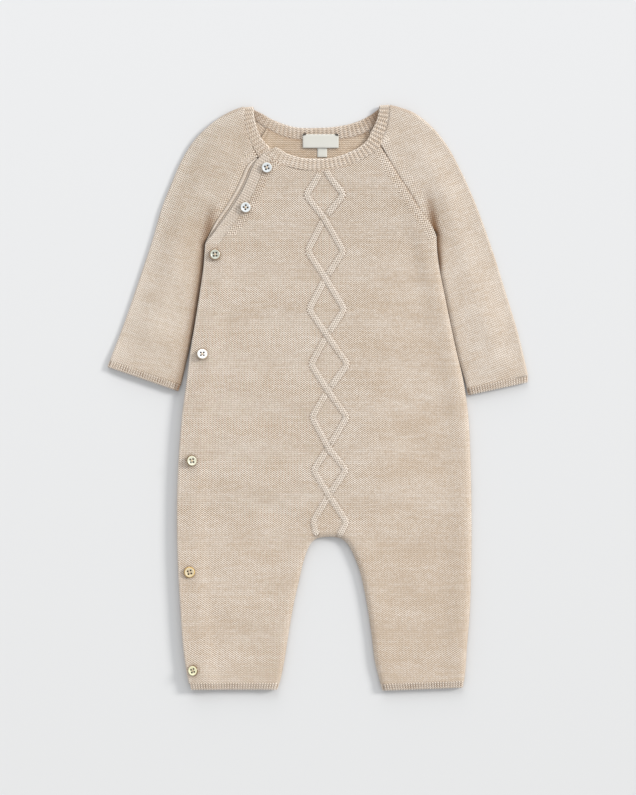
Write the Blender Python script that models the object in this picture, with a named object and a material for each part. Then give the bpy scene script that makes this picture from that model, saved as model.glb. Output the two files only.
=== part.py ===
"""Baby romper in a fine wool knit, laid flat on its back.

Frame: +Z up, the garment's front faces +Z, its neck points to +Y, and its
buttoned side lies towards -X.  The origin is the middle of its footprint, on
the surface it rests on.  Tables are in millimetres, the model in metres.

Layers, from the surface up: the back panel with the back halves of the
sleeves, then the button stands, then the front panel with the front halves of
the sleeves.  The front overlaps the wearer's right raglan and right side, where
seven buttons close it from the neck to the ankle.
"""

import math

import bmesh
import bpy
import numpy as np
from mathutils import Euler, Matrix, Vector

MM = 0.001

# ---------------------------------------------------------------- sizes (mm)
KNIT = 2.4            # wall of the body's and the sleeves' knit
RIB = 2.4             # wall of neckband, cuffs and hems
BAND = 2.2            # wall of the opening band
STAND = 1.9           # wall of the button stands
GAP = 0.3             # between a piece and its neighbour at a seam
LAYER2 = KNIT + GAP   # underside of whatever lies straight on the back
LOFT = 1.2            # air between the front and the back, away from edges
OVER_STAND = 1.25     # extra lift of the front where it lies on a button stand
STAND_REACH = 14.0    # width of the button stand down the side
BAND_W = 9.3          # width of the cross-ribbed band on the raglan edge
EDGE_R = 5.4          # how far in from a seamed edge the front rounds down
FREE_R = 1.6          # rounding of the front's free edge over the opening
SLEEVE_H = 6.6        # height of a sleeve at its outer fold
CUFF_H = 6.2          # height of a folded cuff
BUTTON_D = 9.5        # a 15-line button
BUTTON_T = 2.0
BUTTON_HOLE = 1.2
BUTTON_HOLE_AT = 1.25

# the garment's tables are taken about the middle of the neck; this moves the
# middle of the footprint to the origin
SHIFT = (-0.20, -0.35)

# ------------------------------------------------------------------- tables
# BODY: the body's outline, a row per level.
# columns: y, x of the open edge (buttons), x of the closed edge
BODY = [
    (-254.0, -110.9, 127.0),
    (-241.9, -113.3, 128.6),
    (-218.4, -116.8, 130.3),
    (-187.9, -119.1, 132.7),
    (-156.6, -121.0, 133.8),
    (-102.7, -122.4, 134.2),
    (-54.8, -121.0, 133.4),
    (-15.7, -117.9, 131.4),
    (13.9, -114.0, 127.4),
    (41.8, -110.4, 121.3),
    (69.6, -105.9, 115.4),
    (92.2, -102.4, 110.8),
    (111.4, -99.6, 107.0),
    (133.6, -97.9, 104.2),
    (140.1, -97.7, 104.0),
]

# INSEAM: from the open side's hem up the leg, over the crotch, down the other
INSEAM = [
    (-34.9, -254.5), (-33.1, -248.5), (-29.1, -230.6), (-25.7, -208.8),
    (-20.8, -180.1), (-16.1, -159.2), (-11.6, -140.6), (-8.4, -131.6),
    (-5.2, -126.0), (-1.6, -122.9), (3.5, -121.5), (10.5, -121.0),
    (17.5, -121.5), (22.0, -123.2), (25.6, -126.4), (29.0, -131.6),
    (31.8, -137.6), (36.1, -148.5), (40.6, -166.6), (44.0, -185.3),
    (47.3, -207.9), (50.1, -230.6), (54.9, -249.2), (56.4, -255.5),
]
CROTCH_L, CROTCH_R = 8, 14      # rows of INSEAM where legs meet the body

# OPENING: the raglan opening, a row per station from underarm to neck.
# columns: welt x, y (where the sleeve's cloth ends); overlap edge x, y;
# inner edge of the cross-ribbed band x, y; hidden edge of the stand x, y
OPENING = [
    (-97.3, 135.4, -97.9, 133.9, -86.4, 133.9, -84.5, 134.5),
    (-88.9, 152.5, -85.7, 150.2, -78.2, 144.8, -76.8, 143.8),
    (-79.4, 166.8, -75.5, 164.4, -67.6, 159.5, -66.2, 158.6),
    (-71.5, 180.2, -67.2, 177.7, -59.1, 173.1, -57.7, 172.2),
    (-65.9, 191.8, -61.2, 189.7, -52.7, 185.9, -51.2, 185.4),
    (-61.8, 201.3, -57.2, 199.5, -48.6, 195.8, -47.3, 195.0),
    (-57.4, 205.9, -53.0, 206.8, -44.2, 202.0, -46.6, 199.6),
    (-52.9, 209.3, -47.6, 212.2, -40.1, 207.4, -46.9, 202.9),
]

# RAGLAN: the closed side's front raglan seam, underarm to neck
RAGLAN = [(104.0, 140.1), (98.2, 151.4), (89.6, 163.5), (79.8, 179.4),
          (71.1, 192.4), (62.4, 206.8), (54.6, 220.4)]

# BACK_RAGLANS: back raglan seams, underarm to neck: open side, closed side
BACK_RAGLANS = [
    (-97.9, 133.6, 104.2, 140.1),
    (-88.5, 152.4, 96.0, 152.8),
    (-79.5, 170.2, 87.0, 166.2),
    (-69.5, 189.2, 76.5, 182.2),
    (-61.0, 205.2, 66.0, 198.2),
    (-53.5, 219.2, 55.5, 214.2),
    (-45.2, 234.3, 44.5, 231.4),
]

# NECKBAND: columns: free edge x, y; seamed edge x, y; height of its underside
NECK_UNDER = [      # lapped end, then up the opening side's sleeve top
    (-36.3, 211.8, -46.0, 204.4, 2.7),
    (-41.5, 217.9, -51.2, 210.5, 2.7),
    (-45.2, 222.2, -54.0, 215.3, 2.8),
    (-48.8, 226.5, -57.2, 221.5, 3.0),
    (-53.1, 237.5, -61.6, 234.0, 3.0),
    (-55.2, 246.5, -63.6, 245.5, 3.0),
    (-55.6, 251.3, -63.9, 250.7, 2.9),
]
NECK_BACK = [       # along the back neck
    (-55.6, 251.3, -63.9, 250.7, 0.0),
    (-49.0, 248.2, -55.6, 243.2, 0.0),
    (-40.5, 243.3, -44.8, 235.3, 0.0),
    (-30.9, 239.3, -33.0, 228.6, 0.0),
    (-20.8, 236.3, -20.8, 225.3, 0.0),
    (-0.9, 235.4, -0.9, 224.6, 0.0),
    (19.1, 237.0, 20.4, 225.2, 0.0),
    (30.0, 239.4, 33.0, 227.4, 0.0),
    (38.7, 242.6, 44.0, 231.9, 0.0),
    (47.6, 247.6, 54.6, 240.8, 0.0),
    (53.9, 252.4, 62.2, 253.0, 0.0),
]
NECK_FRONT = [      # down the closed side's sleeve top and round the front
    (53.9, 252.4, 62.2, 253.0, 2.9),
    (51.8, 243.0, 61.6, 240.1, 3.2),
    (46.9, 232.0, 57.6, 227.1, 3.6),
    (43.1, 224.6, 52.6, 218.0, 3.9),
    (37.0, 219.0, 42.8, 210.7, 3.9),
    (25.7, 213.2, 29.1, 204.1, 3.9),
    (12.4, 209.1, 14.4, 199.5, 3.9),
    (-0.9, 208.4, -0.9, 198.3, 3.9),
    (-14.4, 209.3, -15.8, 199.5, 4.2),
    (-26.0, 212.8, -30.2, 203.4, 4.8),
    (-33.2, 216.9, -40.2, 208.1, 5.3),
    (-36.1, 218.4, -46.8, 213.0, 5.3),
]

# SLEEVES: a row per station from the cuff to the neck.
# columns: front inner edge x, y; outer fold x, y; back inner edge x, y;
# height at the fold; how far the front and the back halves bow off the
# straight; level of the front half's underside at its inner edge; how far the
# inner edge is rounded down onto the back (1 = a seamed edge)
SLEEVE_OPEN = [
    (-118.9, 11.4, -181.1, 32.7, -118.9, 11.4, 6.2, 0.0, 0.0, 3.9, 1.0),
    (-110.9, 46.1, -169.2, 63.5, -110.9, 46.1, 6.6, 0.0, 0.0, 3.9, 1.0),
    (-104.6, 85.3, -156.2, 100.9, -104.6, 85.3, 6.6, 0.0, 0.0, 3.9, 1.0),
    (-100.0, 118.3, -144.0, 137.5, -100.0, 118.3, 6.6, 0.0, 0.0, 3.9, 1.0),
    (-98.9, 133.4, -134.4, 169.6, -98.9, 133.4, 6.6, 0.0, 0.0, 3.6, 1.0),
    (-89.5, 152.3, -127.5, 186.5, -89.1, 152.6, 6.6, 0.0, 0.0, 3.2, 0.0),
    (-80.0, 166.6, -118.5, 207.0, -80.1, 170.4, 6.6, 0.0, 0.0, 3.1, 0.0),
    (-72.1, 180.0, -107.5, 224.5, -70.1, 189.4, 6.6, 0.0, 0.0, 3.1, 0.0),
    (-66.5, 191.6, -95.0, 237.0, -61.6, 205.4, 6.4, 0.5, 0.3, 3.1, 0.0),
    (-62.4, 201.4, -81.0, 247.0, -54.1, 219.4, 6.0, 1.5, 0.7, 3.1, 0.0),
    (-53.6, 210.6, -66.2, 254.0, -46.0, 234.2, 5.5, 2.9, 1.6, 3.1, 0.0),
]
SLEEVE_SHUT = [
    (129.8, 8.4, 183.5, 20.0, 129.8, 8.4, 6.2, 0.0, 0.0, 3.9, 1.0),
    (121.8, 46.0, 174.9, 56.0, 121.8, 46.0, 6.6, 0.0, 0.0, 3.9, 1.0),
    (114.2, 82.0, 163.5, 93.5, 114.2, 82.0, 6.6, 0.0, 0.0, 3.9, 1.0),
    (107.7, 115.0, 152.2, 129.5, 107.7, 115.0, 6.6, 0.0, 0.0, 3.9, 1.0),
    (105.3, 139.3, 140.0, 163.5, 105.3, 139.3, 6.6, 0.0, 0.0, 3.6, 1.0),
    (98.7, 151.7, 132.5, 182.0, 96.6, 153.1, 6.6, 0.0, 0.0, 3.7, 0.0),
    (90.1, 163.8, 124.0, 200.0, 87.6, 166.5, 6.6, 0.0, 0.0, 3.9, 0.0),
    (80.3, 179.7, 112.0, 221.5, 77.1, 182.5, 6.6, 0.0, 0.0, 3.9, 0.0),
    (71.6, 192.7, 99.5, 236.5, 66.6, 198.5, 6.4, 0.4, 0.3, 3.9, 0.0),
    (62.9, 207.1, 84.5, 248.3, 56.1, 214.5, 6.0, 1.1, 1.0, 3.8, 0.0),
    (55.4, 221.3, 64.6, 255.6, 45.1, 231.4, 5.6, 2.3, 2.4, 3.7, 0.0),
]
# TROUGHS: where a sleeve's front half dips beside its underarm, top to bottom
TROUGH_OPEN = [(-90.9, 162.7), (-93.5, 152.0), (-96.5, 140.0), (-98.9, 131.0)]
TROUGH_SHUT = [(97.0, 181.0), (99.0, 166.0), (102.0, 151.0), (105.3, 137.0)]

# CUFFS: finished edge, then the edge sewn to the sleeve.
# columns: inner x, y; outer x, y
CUFF_OPEN = [(-121.4, 5.8, -183.1, 27.0), (-119.6, 11.0, -181.2, 32.3)]
CUFF_SHUT = [(131.4, 2.4, 183.1, 13.6), (130.0, 8.0, 183.2, 19.6)]
# HEMS: finished edge, then the edge sewn to the leg.
# columns: outer x, y; inner (inseam) x, y
HEM_OPEN = [(-110.9, -254.0, -34.9, -254.0), (-112.0, -248.3, -33.2, -248.3)]
HEM_SHUT = [(126.9, -252.3, 56.4, -254.9), (127.5, -246.7, 55.0, -249.3)]

# BUTTONS: columns: x, y, height it sits on, tilt about x and y (degrees)
BUTTONS = [
    (-44.2, 200.4, 7.55, 4.0, -3.0),
    (-62.7, 165.7, 7.55, -2.0, -4.0),
    (-89.2, 124.7, 7.60, 2.0, 3.5),
    (-100.2, 37.9, 7.60, -2.0, 3.0),
    (-109.6, -54.6, 7.60, 2.0, 4.0),
    (-111.3, -151.4, 7.60, -3.0, 3.5),
    (-107.7, -236.9, 7.60, 4.0, -2.0),
]

# LABELS: x low, x high, y low, y high, z low, z high
NECK_LABEL = (-12.9, 18.4, 217.7, 229.7, 3.5, 4.1)
SIZE_TAG = (-0.2, 8.4, 209.6, 224.0, 2.7, 3.2)

COLOURS = {"knit": (0.66, 0.54, 0.43), "rib": (0.70, 0.59, 0.48),
           "shell": (0.82, 0.82, 0.76), "label": (0.83, 0.81, 0.76)}


# ------------------------------------------------------------------ helpers
class Curve:
    """A smooth curve through a short table's rows, t from 0 to 1."""

    def __init__(self, rows, t=None):
        self.p = np.array(rows, float)
        if t is None:
            step = np.linalg.norm(np.diff(self.p[:, :2], axis=0), axis=1)
            t = np.concatenate([[0.0], np.cumsum(step)])
            t = t / t[-1]
        self.t = np.array(t, float)
        h = np.diff(self.t)[:, None]
        s = np.diff(self.p, axis=0) / h
        m = np.empty_like(self.p)
        m[0], m[-1] = s[0], s[-1]
        m[1:-1] = (h[1:] * s[:-1] + h[:-1] * s[1:]) / (h[1:] + h[:-1])
        self.m = m

    def at(self, t):
        t = np.atleast_1d(np.clip(t, 0.0, 1.0))
        i = np.clip(np.searchsorted(self.t, t, side="right") - 1, 0, len(self.t) - 2)
        h = (self.t[i + 1] - self.t[i])[:, None]
        u = ((t - self.t[i])[:, None]) / h
        return ((2 * u**3 - 3 * u**2 + 1) * self.p[i] + (u**3 - 2 * u**2 + u) * h * self.m[i]
                + (3 * u**2 - 2 * u**3) * self.p[i + 1] + (u**3 - u**2) * h * self.m[i + 1])

    def line(self, n):
        return self.at(np.linspace(0, 1, n))


def smooth(a):
    a = min(max(a, 0.0), 1.0)
    return a * a * (3 - 2 * a)


def round_off(s):
    """Quarter circle from 0 at an edge to 1 at its full depth."""
    s = min(max(s, 0.0), 1.0)
    return math.sqrt(max(0.0, 1 - (1 - s) ** 2))


def nearest(line, x, y):
    """Distance from a point to a polyline, the way into the cloth (the left of
    the line), and how far along the line the nearest point is (0 to 1)."""
    a, b = line[:-1], line[1:]
    d = b - a
    length = np.maximum((d * d).sum(1), 1e-12)
    f = np.clip(((np.array([x, y]) - a) * d).sum(1) / length, 0, 1)
    q = a + d * f[:, None]
    r = np.hypot(q[:, 0] - x, q[:, 1] - y)
    i = int(r.argmin())
    n = np.array([-d[i, 1], d[i, 0]]) / math.sqrt(length[i])
    return float(r[i]), n, (i + float(f[i])) / len(a)


BODY_EDGE = Curve([(0.0,) + row for row in BODY], t=[(r[0] - BODY[0][0]) / (BODY[-1][0] - BODY[0][0]) for r in BODY])
INSEAM_CURVE = Curve(INSEAM)
OPENING_CURVE = Curve(OPENING)
RAGLAN_CURVE = Curve(RAGLAN)


def body_x(y):
    """x of the open and of the closed edge of the body at a level."""
    row = BODY_EDGE.at((y - BODY[0][0]) / (BODY[-1][0] - BODY[0][0]))[0]
    return float(row[2]), float(row[3])


def side_line(which, top):
    ys = np.linspace(BODY[0][0], top, 60)
    return np.array([(body_x(y)[which], y) for y in ys])


OPEN_SIDE = side_line(0, 133.6)
SHUT_SIDE = side_line(1, 140.1)
INSEAM_LINE = INSEAM_CURVE.line(160)
OVERLAP_LINE = np.vstack([OPEN_SIDE, OPENING_CURVE.line(60)[:, 2:4]])


def front_heights(x, y):
    """Upper and lower side of the front at a point, and how far the lower
    side's point moves in from the outline (dx, dy)."""
    d_open = nearest(OVERLAP_LINE, x, y)[0]
    d_shut, n_shut, _ = nearest(SHUT_SIDE, x, y)
    d_in, n_in, _ = nearest(INSEAM_LINE, x, y)
    lift = LOFT + OVER_STAND * smooth(1 - (d_open - STAND_REACH - 1.0) / 14.0)
    lift += 0.9 * math.exp(-((d_shut - 8.0) / 9.0) ** 2)
    lift += 0.4 * math.exp(-((d_in - 9.0) / 9.0) ** 2)
    d, n = (d_shut, n_shut) if d_shut < d_in else (d_in, n_in)
    wall = KNIT * max(0.0, 1 - d / EDGE_R)
    upper = LAYER2 + (lift + KNIT) * round_off(d / EDGE_R)
    inner = wall + d                     # how far in the lower side's point is
    lower = LAYER2 + lift * round_off((inner - KNIT) / (EDGE_R - KNIT))
    if d_open < FREE_R:
        k = round_off(0.25 + 0.75 * d_open / FREE_R)
        upper -= 0.5 * KNIT * (1 - k)
        lower += 0.25 * KNIT * (1 - k)
    return upper, lower, n * wall


def place(x, y, z):
    return Vector(((x + SHIFT[0]) * MM, (y + SHIFT[1]) * MM, z * MM))


def finish(name, bm, kind, smooth_angle=35):
    bmesh.ops.recalc_face_normals(bm, faces=bm.faces[:])
    mesh = bpy.data.meshes.new(name)
    bm.to_mesh(mesh)
    bm.free()
    obj = bpy.data.objects.new(name, mesh)
    bpy.context.scene.collection.objects.link(obj)
    obj.parent = ROOT
    mesh.shade_smooth()
    mesh.set_sharp_from_angle(angle=math.radians(smooth_angle))
    mat = bpy.data.materials.new(name)
    mat.use_nodes = True
    shader = mat.node_tree.nodes["Principled BSDF"]
    shader.inputs["Base Color"].default_value = COLOURS[kind] + (1.0,)
    shader.inputs["Roughness"].default_value = 0.35 if kind == "shell" else 0.95
    shader.inputs["Metallic"].default_value = 0.0
    mesh.materials.append(mat)
    return obj


def slab(name, upper, lower, faces, kind):
    """A closed wall of cloth from its upper and lower points, which are keyed
    alike, and the faces that both share."""
    bm = bmesh.new()
    up = {k: bm.verts.new(place(*p)) for k, p in upper.items()}
    low = {k: bm.verts.new(place(*p)) for k, p in lower.items()}
    rim = {}
    for face in faces:
        bm.faces.new([up[k] for k in face])
        bm.faces.new([low[k] for k in reversed(face)])
        for a, b in zip(face, face[1:] + face[:1]):
            if (b, a) in rim:
                del rim[(b, a)]
            else:
                rim[(a, b)] = True
    for a, b in rim:
        bm.faces.new([up[b], up[a], low[a], low[b]])
    return finish(name, bm, kind)


def grid_faces(keys):
    """Quads between neighbouring (row, column) keys."""
    have = set(keys)
    out = []
    for r, c in sorted(have):
        quad = [(r, c), (r, c + 1), (r + 1, c + 1), (r + 1, c)]
        if all(k in have for k in quad):
            out.append(quad)
    return out


def loft(name, rings, kind, closed=False):
    """A solid through closed rings of points, capped at its ends."""
    bm = bmesh.new()
    rows = [[bm.verts.new(place(*p)) for p in ring] for ring in rings]
    n = len(rows[0])
    pairs = list(zip(rows, rows[1:]))
    if closed:
        pairs.append((rows[-1], rows[0]))
    for a, b in pairs:
        for i in range(n):
            j = (i + 1) % n
            bm.faces.new([a[i], a[j], b[j], b[i]])
    if not closed:
        bm.faces.new(list(reversed(rows[0])))
        bm.faces.new(rows[-1])
    return finish(name, bm, kind)


# -------------------------------------------------------------- body panels
def panel_points(edge_in, n_leg, n_arch, leg_rows, torso_rows, upper_rows,
                 left_top, right_top, neck_top, skip_left):
    """Points of a body panel, keyed (row, column): two legs, the body above
    the crotch, and the yoke that narrows between the raglans to the neck.

    edge_in gives the distances in from a seamed edge where columns run; the
    yoke's left side starts at the column numbered skip_left."""
    inner = sorted(edge_in)
    left_offsets = [0.0, FREE_R, 11.5] if skip_left else [0.0, 3.0]
    n_left, n_edge = len(left_offsets), len(inner)
    m = n_left + n_leg + n_edge - 1                 # column of the left crotch
    g = m + n_arch                                  # column of the right crotch
    last = g + n_edge - 1 + n_leg + n_edge
    pts = {}

    def leg_x(lo, hi, lo_off, hi_off):
        a, b = lo + lo_off[-1], hi - hi_off[-1]
        mid = [a + (b - a) * (k + 1) / (n_leg + 1) for k in range(n_leg)]
        return [lo + o for o in lo_off] + mid + [hi - o for o in reversed(hi_off)]

    left_leg = INSEAM_CURVE.t[CROTCH_L]
    right_leg = INSEAM_CURVE.t[CROTCH_R]
    cl, cr = INSEAM[CROTCH_L], INSEAM[CROTCH_R]
    for r in range(leg_rows):
        f = r / leg_rows
        yl = -248.0 + (cl[1] + 248.0) * f
        xi = level_x(INSEAM_CURVE, 0.0, left_leg, yl)
        for c, x in enumerate(leg_x(body_x(yl)[0], xi, left_offsets, inner)):
            pts[(r, c)] = (x, yl)
        hem_in, hem_out = -249.0, -246.4
        yr = hem_in + (cr[1] - hem_in) * f
        xi = level_x(INSEAM_CURVE, 1.0, right_leg, yr)
        for c, x in enumerate(leg_x(xi, body_x(yr)[1], inner, inner)):
            share = (x - xi) / (body_x(yr)[1] - xi)
            pts[(r, g + c)] = (x, yr + (hem_out - hem_in) * share * (1 - f))
    # the level of the crotch, its arch, and the rows just above the arch
    xs = leg_x(body_x(cl[1])[0], cl[0], left_offsets, inner)
    arch = INSEAM_CURVE.at(np.linspace(left_leg, right_leg, n_arch + 1))
    base = [(x, cl[1]) for x in xs] + [tuple(p) for p in arch[1:-1]]
    base += [(x, cr[1]) for x in leg_x(cr[0], body_x(cr[1])[1], inner, inner)]
    r = leg_rows
    for off in inner:
        for c, (x, y) in enumerate(base):
            pts[(r, c)] = (x, y + off)
        r += 1
    start = [(x, y + inner[-1]) for x, y in base]
    shut_y, open_y = RAGLAN[0][1] - 0.1, OPENING[0][1] - 1.8
    for k in range(1, torso_rows + 1):
        f = k / torso_rows
        relax = smooth(f * 2.2)
        for c, (x0, y0) in enumerate(start):
            s0 = (x0 - start[0][0]) / (start[-1][0] - start[0][0])
            y = y0 + (open_y + (shut_y - open_y) * s0 - y0) * f
            lo, hi = body_x(y)
            if c < n_left:
                x = lo + left_offsets[c]
            elif c > last - n_edge:
                x = hi - inner[last - c]
            else:
                a, b = lo + left_offsets[-1], hi - inner[-1]
                even = a + (b - a) * (c - n_left + 1) / (last - n_edge + 1 - n_left + 1)
                x = lo + (hi - lo) * s0
                x = x + (even - x) * relax
            pts[(r, c)] = (x, y)
        r += 1
    # the yoke: a patch blended between its four sides
    row0 = r - 1
    c0 = n_left - 1 if skip_left else 0
    bottom = np.array([pts[(row0, c)] for c in range(c0, last + 1)])
    s_bottom = (bottom[:, 0] - bottom[0, 0]) / (bottom[-1, 0] - bottom[0, 0])
    s_even = np.linspace(0, 1, len(bottom))
    low_curve = Curve(bottom, t=s_bottom)
    lt, rt = left_top.at([0, 1]), right_top.at([0, 1])
    for k in range(1, upper_rows + 1):
        f = k / upper_rows
        left, right = left_top.at(f)[0], right_top.at(f)[0]
        mixed = s_bottom + (s_even - s_bottom) * smooth(f)
        b, tp = low_curve.at(mixed), neck_top.at(mixed)
        for j, s in enumerate(mixed):
            q = ((1 - f) * b[j] + f * tp[j] + (1 - s) * left + s * right
                 - (1 - f) * ((1 - s) * bottom[0] + s * bottom[-1])
                 - f * ((1 - s) * lt[1] + s * rt[1]))
            pts[(r, c0 + j)] = (float(q[0]), float(q[1]))
        r += 1
    return pts


def level_x(curve, t_low, t_high, y):
    """x where a leg's inseam passes a level, between two of its params."""
    ts = np.linspace(t_low, t_high, 80)
    p = curve.at(ts)
    return float(np.interp(y, p[:, 1], p[:, 0]))


def offset_curve(rows, dx=0.0, dy=0.0):
    return Curve([(x + dx, y + dy) for x, y in rows])


def neck_line(rows, first, last, away):
    """The seamed edge of the neckband, moved off it by a distance."""
    c = Curve([(r[2], r[3]) for r in rows])
    ts = np.linspace(0, 1, 120)
    p = c.at(ts)
    d = np.gradient(p, axis=0)
    n = np.stack([-d[:, 1], d[:, 0]], 1) / np.hypot(d[:, 0], d[:, 1])[:, None]
    mid = c.at(0.5)[0]
    side = 1 if (n[60] @ np.array([0.0, -1.0])) > 0 else -1
    q = p + n * side * away
    i = int(np.hypot(q[:, 0] - first[0], q[:, 1] - first[1]).argmin())
    j = int(np.hypot(q[:, 0] - last[0], q[:, 1] - last[1]).argmin())
    step = 1 if j > i else -1
    return [tuple(q[k]) for k in range(i, j + step, step)]


def build_front():
    band_in = [(r[4] + 0.5, r[5] - 0.3) for r in OPENING]
    neck = neck_line(NECK_FRONT, band_in[-1], (RAGLAN[-1][0], RAGLAN[-1][1]), 0.45)
    band_in[-1] = neck[0]
    rag = list(RAGLAN)
    rag[-1] = neck[-1]
    bottom_left = (body_x(133.6)[0] + 11.5, 133.6)
    band_in[0] = bottom_left
    left_top = Curve(band_in)
    right_top = Curve([(x - 0.15, y - 0.1) if i else (body_x(140.0)[1], 140.0) for i, (x, y) in enumerate(rag)])
    pts = panel_points([0.0, 0.8, 2.4, EDGE_R], 4, 5, 7, 10, 8, left_top, right_top,
                       Curve(neck), skip_left=True)
    upper, lower = {}, {}
    for k, (x, y) in pts.items():
        zu, zl, move = front_heights(x, y)
        upper[k] = (x, y, zu)
        lower[k] = (x + move[0], y + move[1], zl)
    slab("front_panel", upper, lower, grid_faces(pts), "knit")


def build_back():
    left = [(r[0], r[1]) for r in BACK_RAGLANS]
    right = [(r[2], r[3]) for r in BACK_RAGLANS]
    neck = neck_line(NECK_BACK, left[-1], right[-1], 0.45)
    left[-1], right[-1] = neck[0], neck[-1]
    left[0] = (body_x(133.6)[0], 133.6)
    right[0] = (body_x(140.0)[1], 140.0)
    left = [(x + 0.15, y) if i else (x, y) for i, (x, y) in enumerate(left)]
    right = [(x - 0.15, y) if i else (x, y) for i, (x, y) in enumerate(right)]
    left[-1], right[-1] = neck[0], neck[-1]
    pts = panel_points([0.0, 3.0], 3, 4, 6, 8, 5, Curve(left), Curve(right),
                       Curve(neck), skip_left=False)
    outline = [OPEN_SIDE[::-1], SHUT_SIDE, INSEAM_LINE]
    upper, lower = {}, {}
    for k, (x, y) in pts.items():
        d, n, _ = min((nearest(line, x, y) for line in outline), key=lambda v: v[0])
        move = n * 0.9 if d < 0.05 else n * 0.0
        upper[k] = (x, y, KNIT)
        lower[k] = (x + move[0], y + move[1], 0.0)
    slab("back_panel", upper, lower, grid_faces(pts), "knit")


# ------------------------------------------------------------------ sleeves
def build_sleeve(name, table, trough, rows, mid_cols=4, kind="knit", wall=KNIT,
                 level_free=None):
    """One panel folded along its outer edge: the front half on top, the fold,
    then the back half on the surface."""
    outer = np.array([(r[2], r[3]) for r in table])
    step = np.linalg.norm(np.diff(outer, axis=0), axis=1)
    t = np.concatenate([[0.0], np.cumsum(step)]) / step.sum()
    curve = Curve(table, t=t)
    trough = np.array(trough) if trough else None
    centre = np.array([0.0, 235.0])
    offs = [0.0, 0.8, 2.4, EDGE_R]
    upper, lower = {}, {}
    for i, u in enumerate(rows):
        row = curve.at(u)[0]
        inner_f, out, inner_b = row[0:2], row[2:4], row[4:6]
        height, bow_f, bow_b, lev_in, edge = row[6:11]
        edge = smooth(edge)
        ahead, behind = curve.at(min(u + 0.01, 1))[0][2:4], curve.at(max(u - 0.01, 0))[0][2:4]
        tan = (ahead - behind) / np.linalg.norm(ahead - behind)
        nrm = np.array([tan[1], -tan[0]])
        if nrm @ (out - inner_f) < 0:
            nrm = -nrm
        c = out - nrm * height / 2
        # front half, from its inner edge to the fold
        chord = c - inner_f
        length = np.linalg.norm(chord)
        along = chord / length
        perp = np.array([-along[1], along[0]])
        if perp @ (inner_f + chord / 2 - centre) < 0:
            perp = -perp
        dist = offs + [EDGE_R + (length - EDGE_R) * (k + 1) / (mid_cols + 1) for k in range(mid_cols)] + [length]
        col = 0
        for d in dist:
            s = d / length
            p = inner_f + along * d + perp * bow_f * 4 * s * (1 - s)
            lift = (lev_in - LAYER2) + (height - wall - lev_in) * smooth(s)
            if trough is not None:
                td, _, tf = nearest(trough, p[0], p[1])
                lift *= 1 - 0.95 * smooth(tf * 1.6) * math.exp(-(td / 6.0) ** 2)
            k = min(d / EDGE_R, 1.0)
            zu = LAYER2 + (lift + wall) * ((1 - edge) + edge * round_off(k))
            inset = wall * max(0.0, 1 - k) * edge
            kl = (d + inset - wall) / (EDGE_R - wall)
            zl = LAYER2 + lift * ((1 - edge) + edge * round_off(kl))
            upper[(i, col)] = (p[0], p[1], zu)
            q = p + along * inset
            lower[(i, col)] = (q[0], q[1], zl)
            col += 1
        # the fold
        for a in (30, 60, 90, 120, 150):
            sa, ca = math.sin(math.radians(a)), math.cos(math.radians(a))
            for store, rad in ((upper, height / 2), (lower, height / 2 - wall)):
                p = c + nrm * rad * sa
                store[(i, col)] = (p[0], p[1], height / 2 + rad * ca)
            col += 1
        # back half, from the fold to its inner edge
        chord = inner_b - c
        length = np.linalg.norm(chord)
        along = chord / length
        perp = np.array([-along[1], along[0]])
        if perp @ (c + chord / 2 - centre) < 0:
            perp = -perp
        for k in range(4):
            s = k / 3
            p = c + along * length * s + perp * bow_b * 4 * s * (1 - s)
            upper[(i, col)] = (p[0], p[1], 0.0)
            lower[(i, col)] = (p[0], p[1], wall)
            col += 1
    slab(name, upper, lower, grid_faces(upper), kind)


def build_hem_open():
    """The open leg's rib hem: a front strip over the stand, round the inseam
    fold and back as a strip on the surface."""
    table = []
    for ox, oy, ix, iy in HEM_OPEN:
        table.append((ox, oy, ix, iy, ox, oy, LAYER2 + LOFT + 0.3 + RIB, 0.0, 0.0, LAYER2 + LOFT, 0.0))
    upper, lower = {}, {}
    for i, u in enumerate((0.0, 0.5, 1.0)):
        lo, hi = np.array(HEM_OPEN[0]), np.array(HEM_OPEN[1])
        ox, oy, ix, iy = lo + (hi - lo) * u
        height = LAYER2 + LOFT + 0.3 + RIB
        c = ix - height / 2
        xs = [ox, ox + FREE_R] + [ox + 15.0 + (c - ox - 15.0) * k / 4 for k in range(5)]
        col = 0
        for x in xs:
            d = x - ox
            lift = height - RIB + OVER_STAND * smooth(1 - (d - STAND_REACH - 1.0) / 14.0) * 1.0
            k = round_off(0.25 + 0.75 * d / FREE_R)
            y = oy + (iy - oy) * (x - ox) / (ix - ox)
            upper[(i, col)] = (x, y, lift + RIB - 0.5 * RIB * (1 - k))
            lower[(i, col)] = (x, y, lift + 0.25 * RIB * (1 - k))
            col += 1
        for a in (30, 60, 90, 120, 150):
            sa, ca = math.sin(math.radians(a)), math.cos(math.radians(a))
            for store, rad in ((upper, height / 2), (lower, height / 2 - RIB)):
                x = c + rad * sa
                store[(i, col)] = (x, iy, height / 2 + rad * ca)
            col += 1
        for k in range(4):
            x = c + (ox + 0.6 - c) * k / 3
            upper[(i, col)] = (x, oy + (iy - oy) * (x - ox) / (ix - ox), 0.0)
            lower[(i, col)] = (x, oy + (iy - oy) * (x - ox) / (ix - ox), RIB)
            col += 1
    slab("hem_opening_side", upper, lower, grid_faces(upper), "rib")


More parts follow.
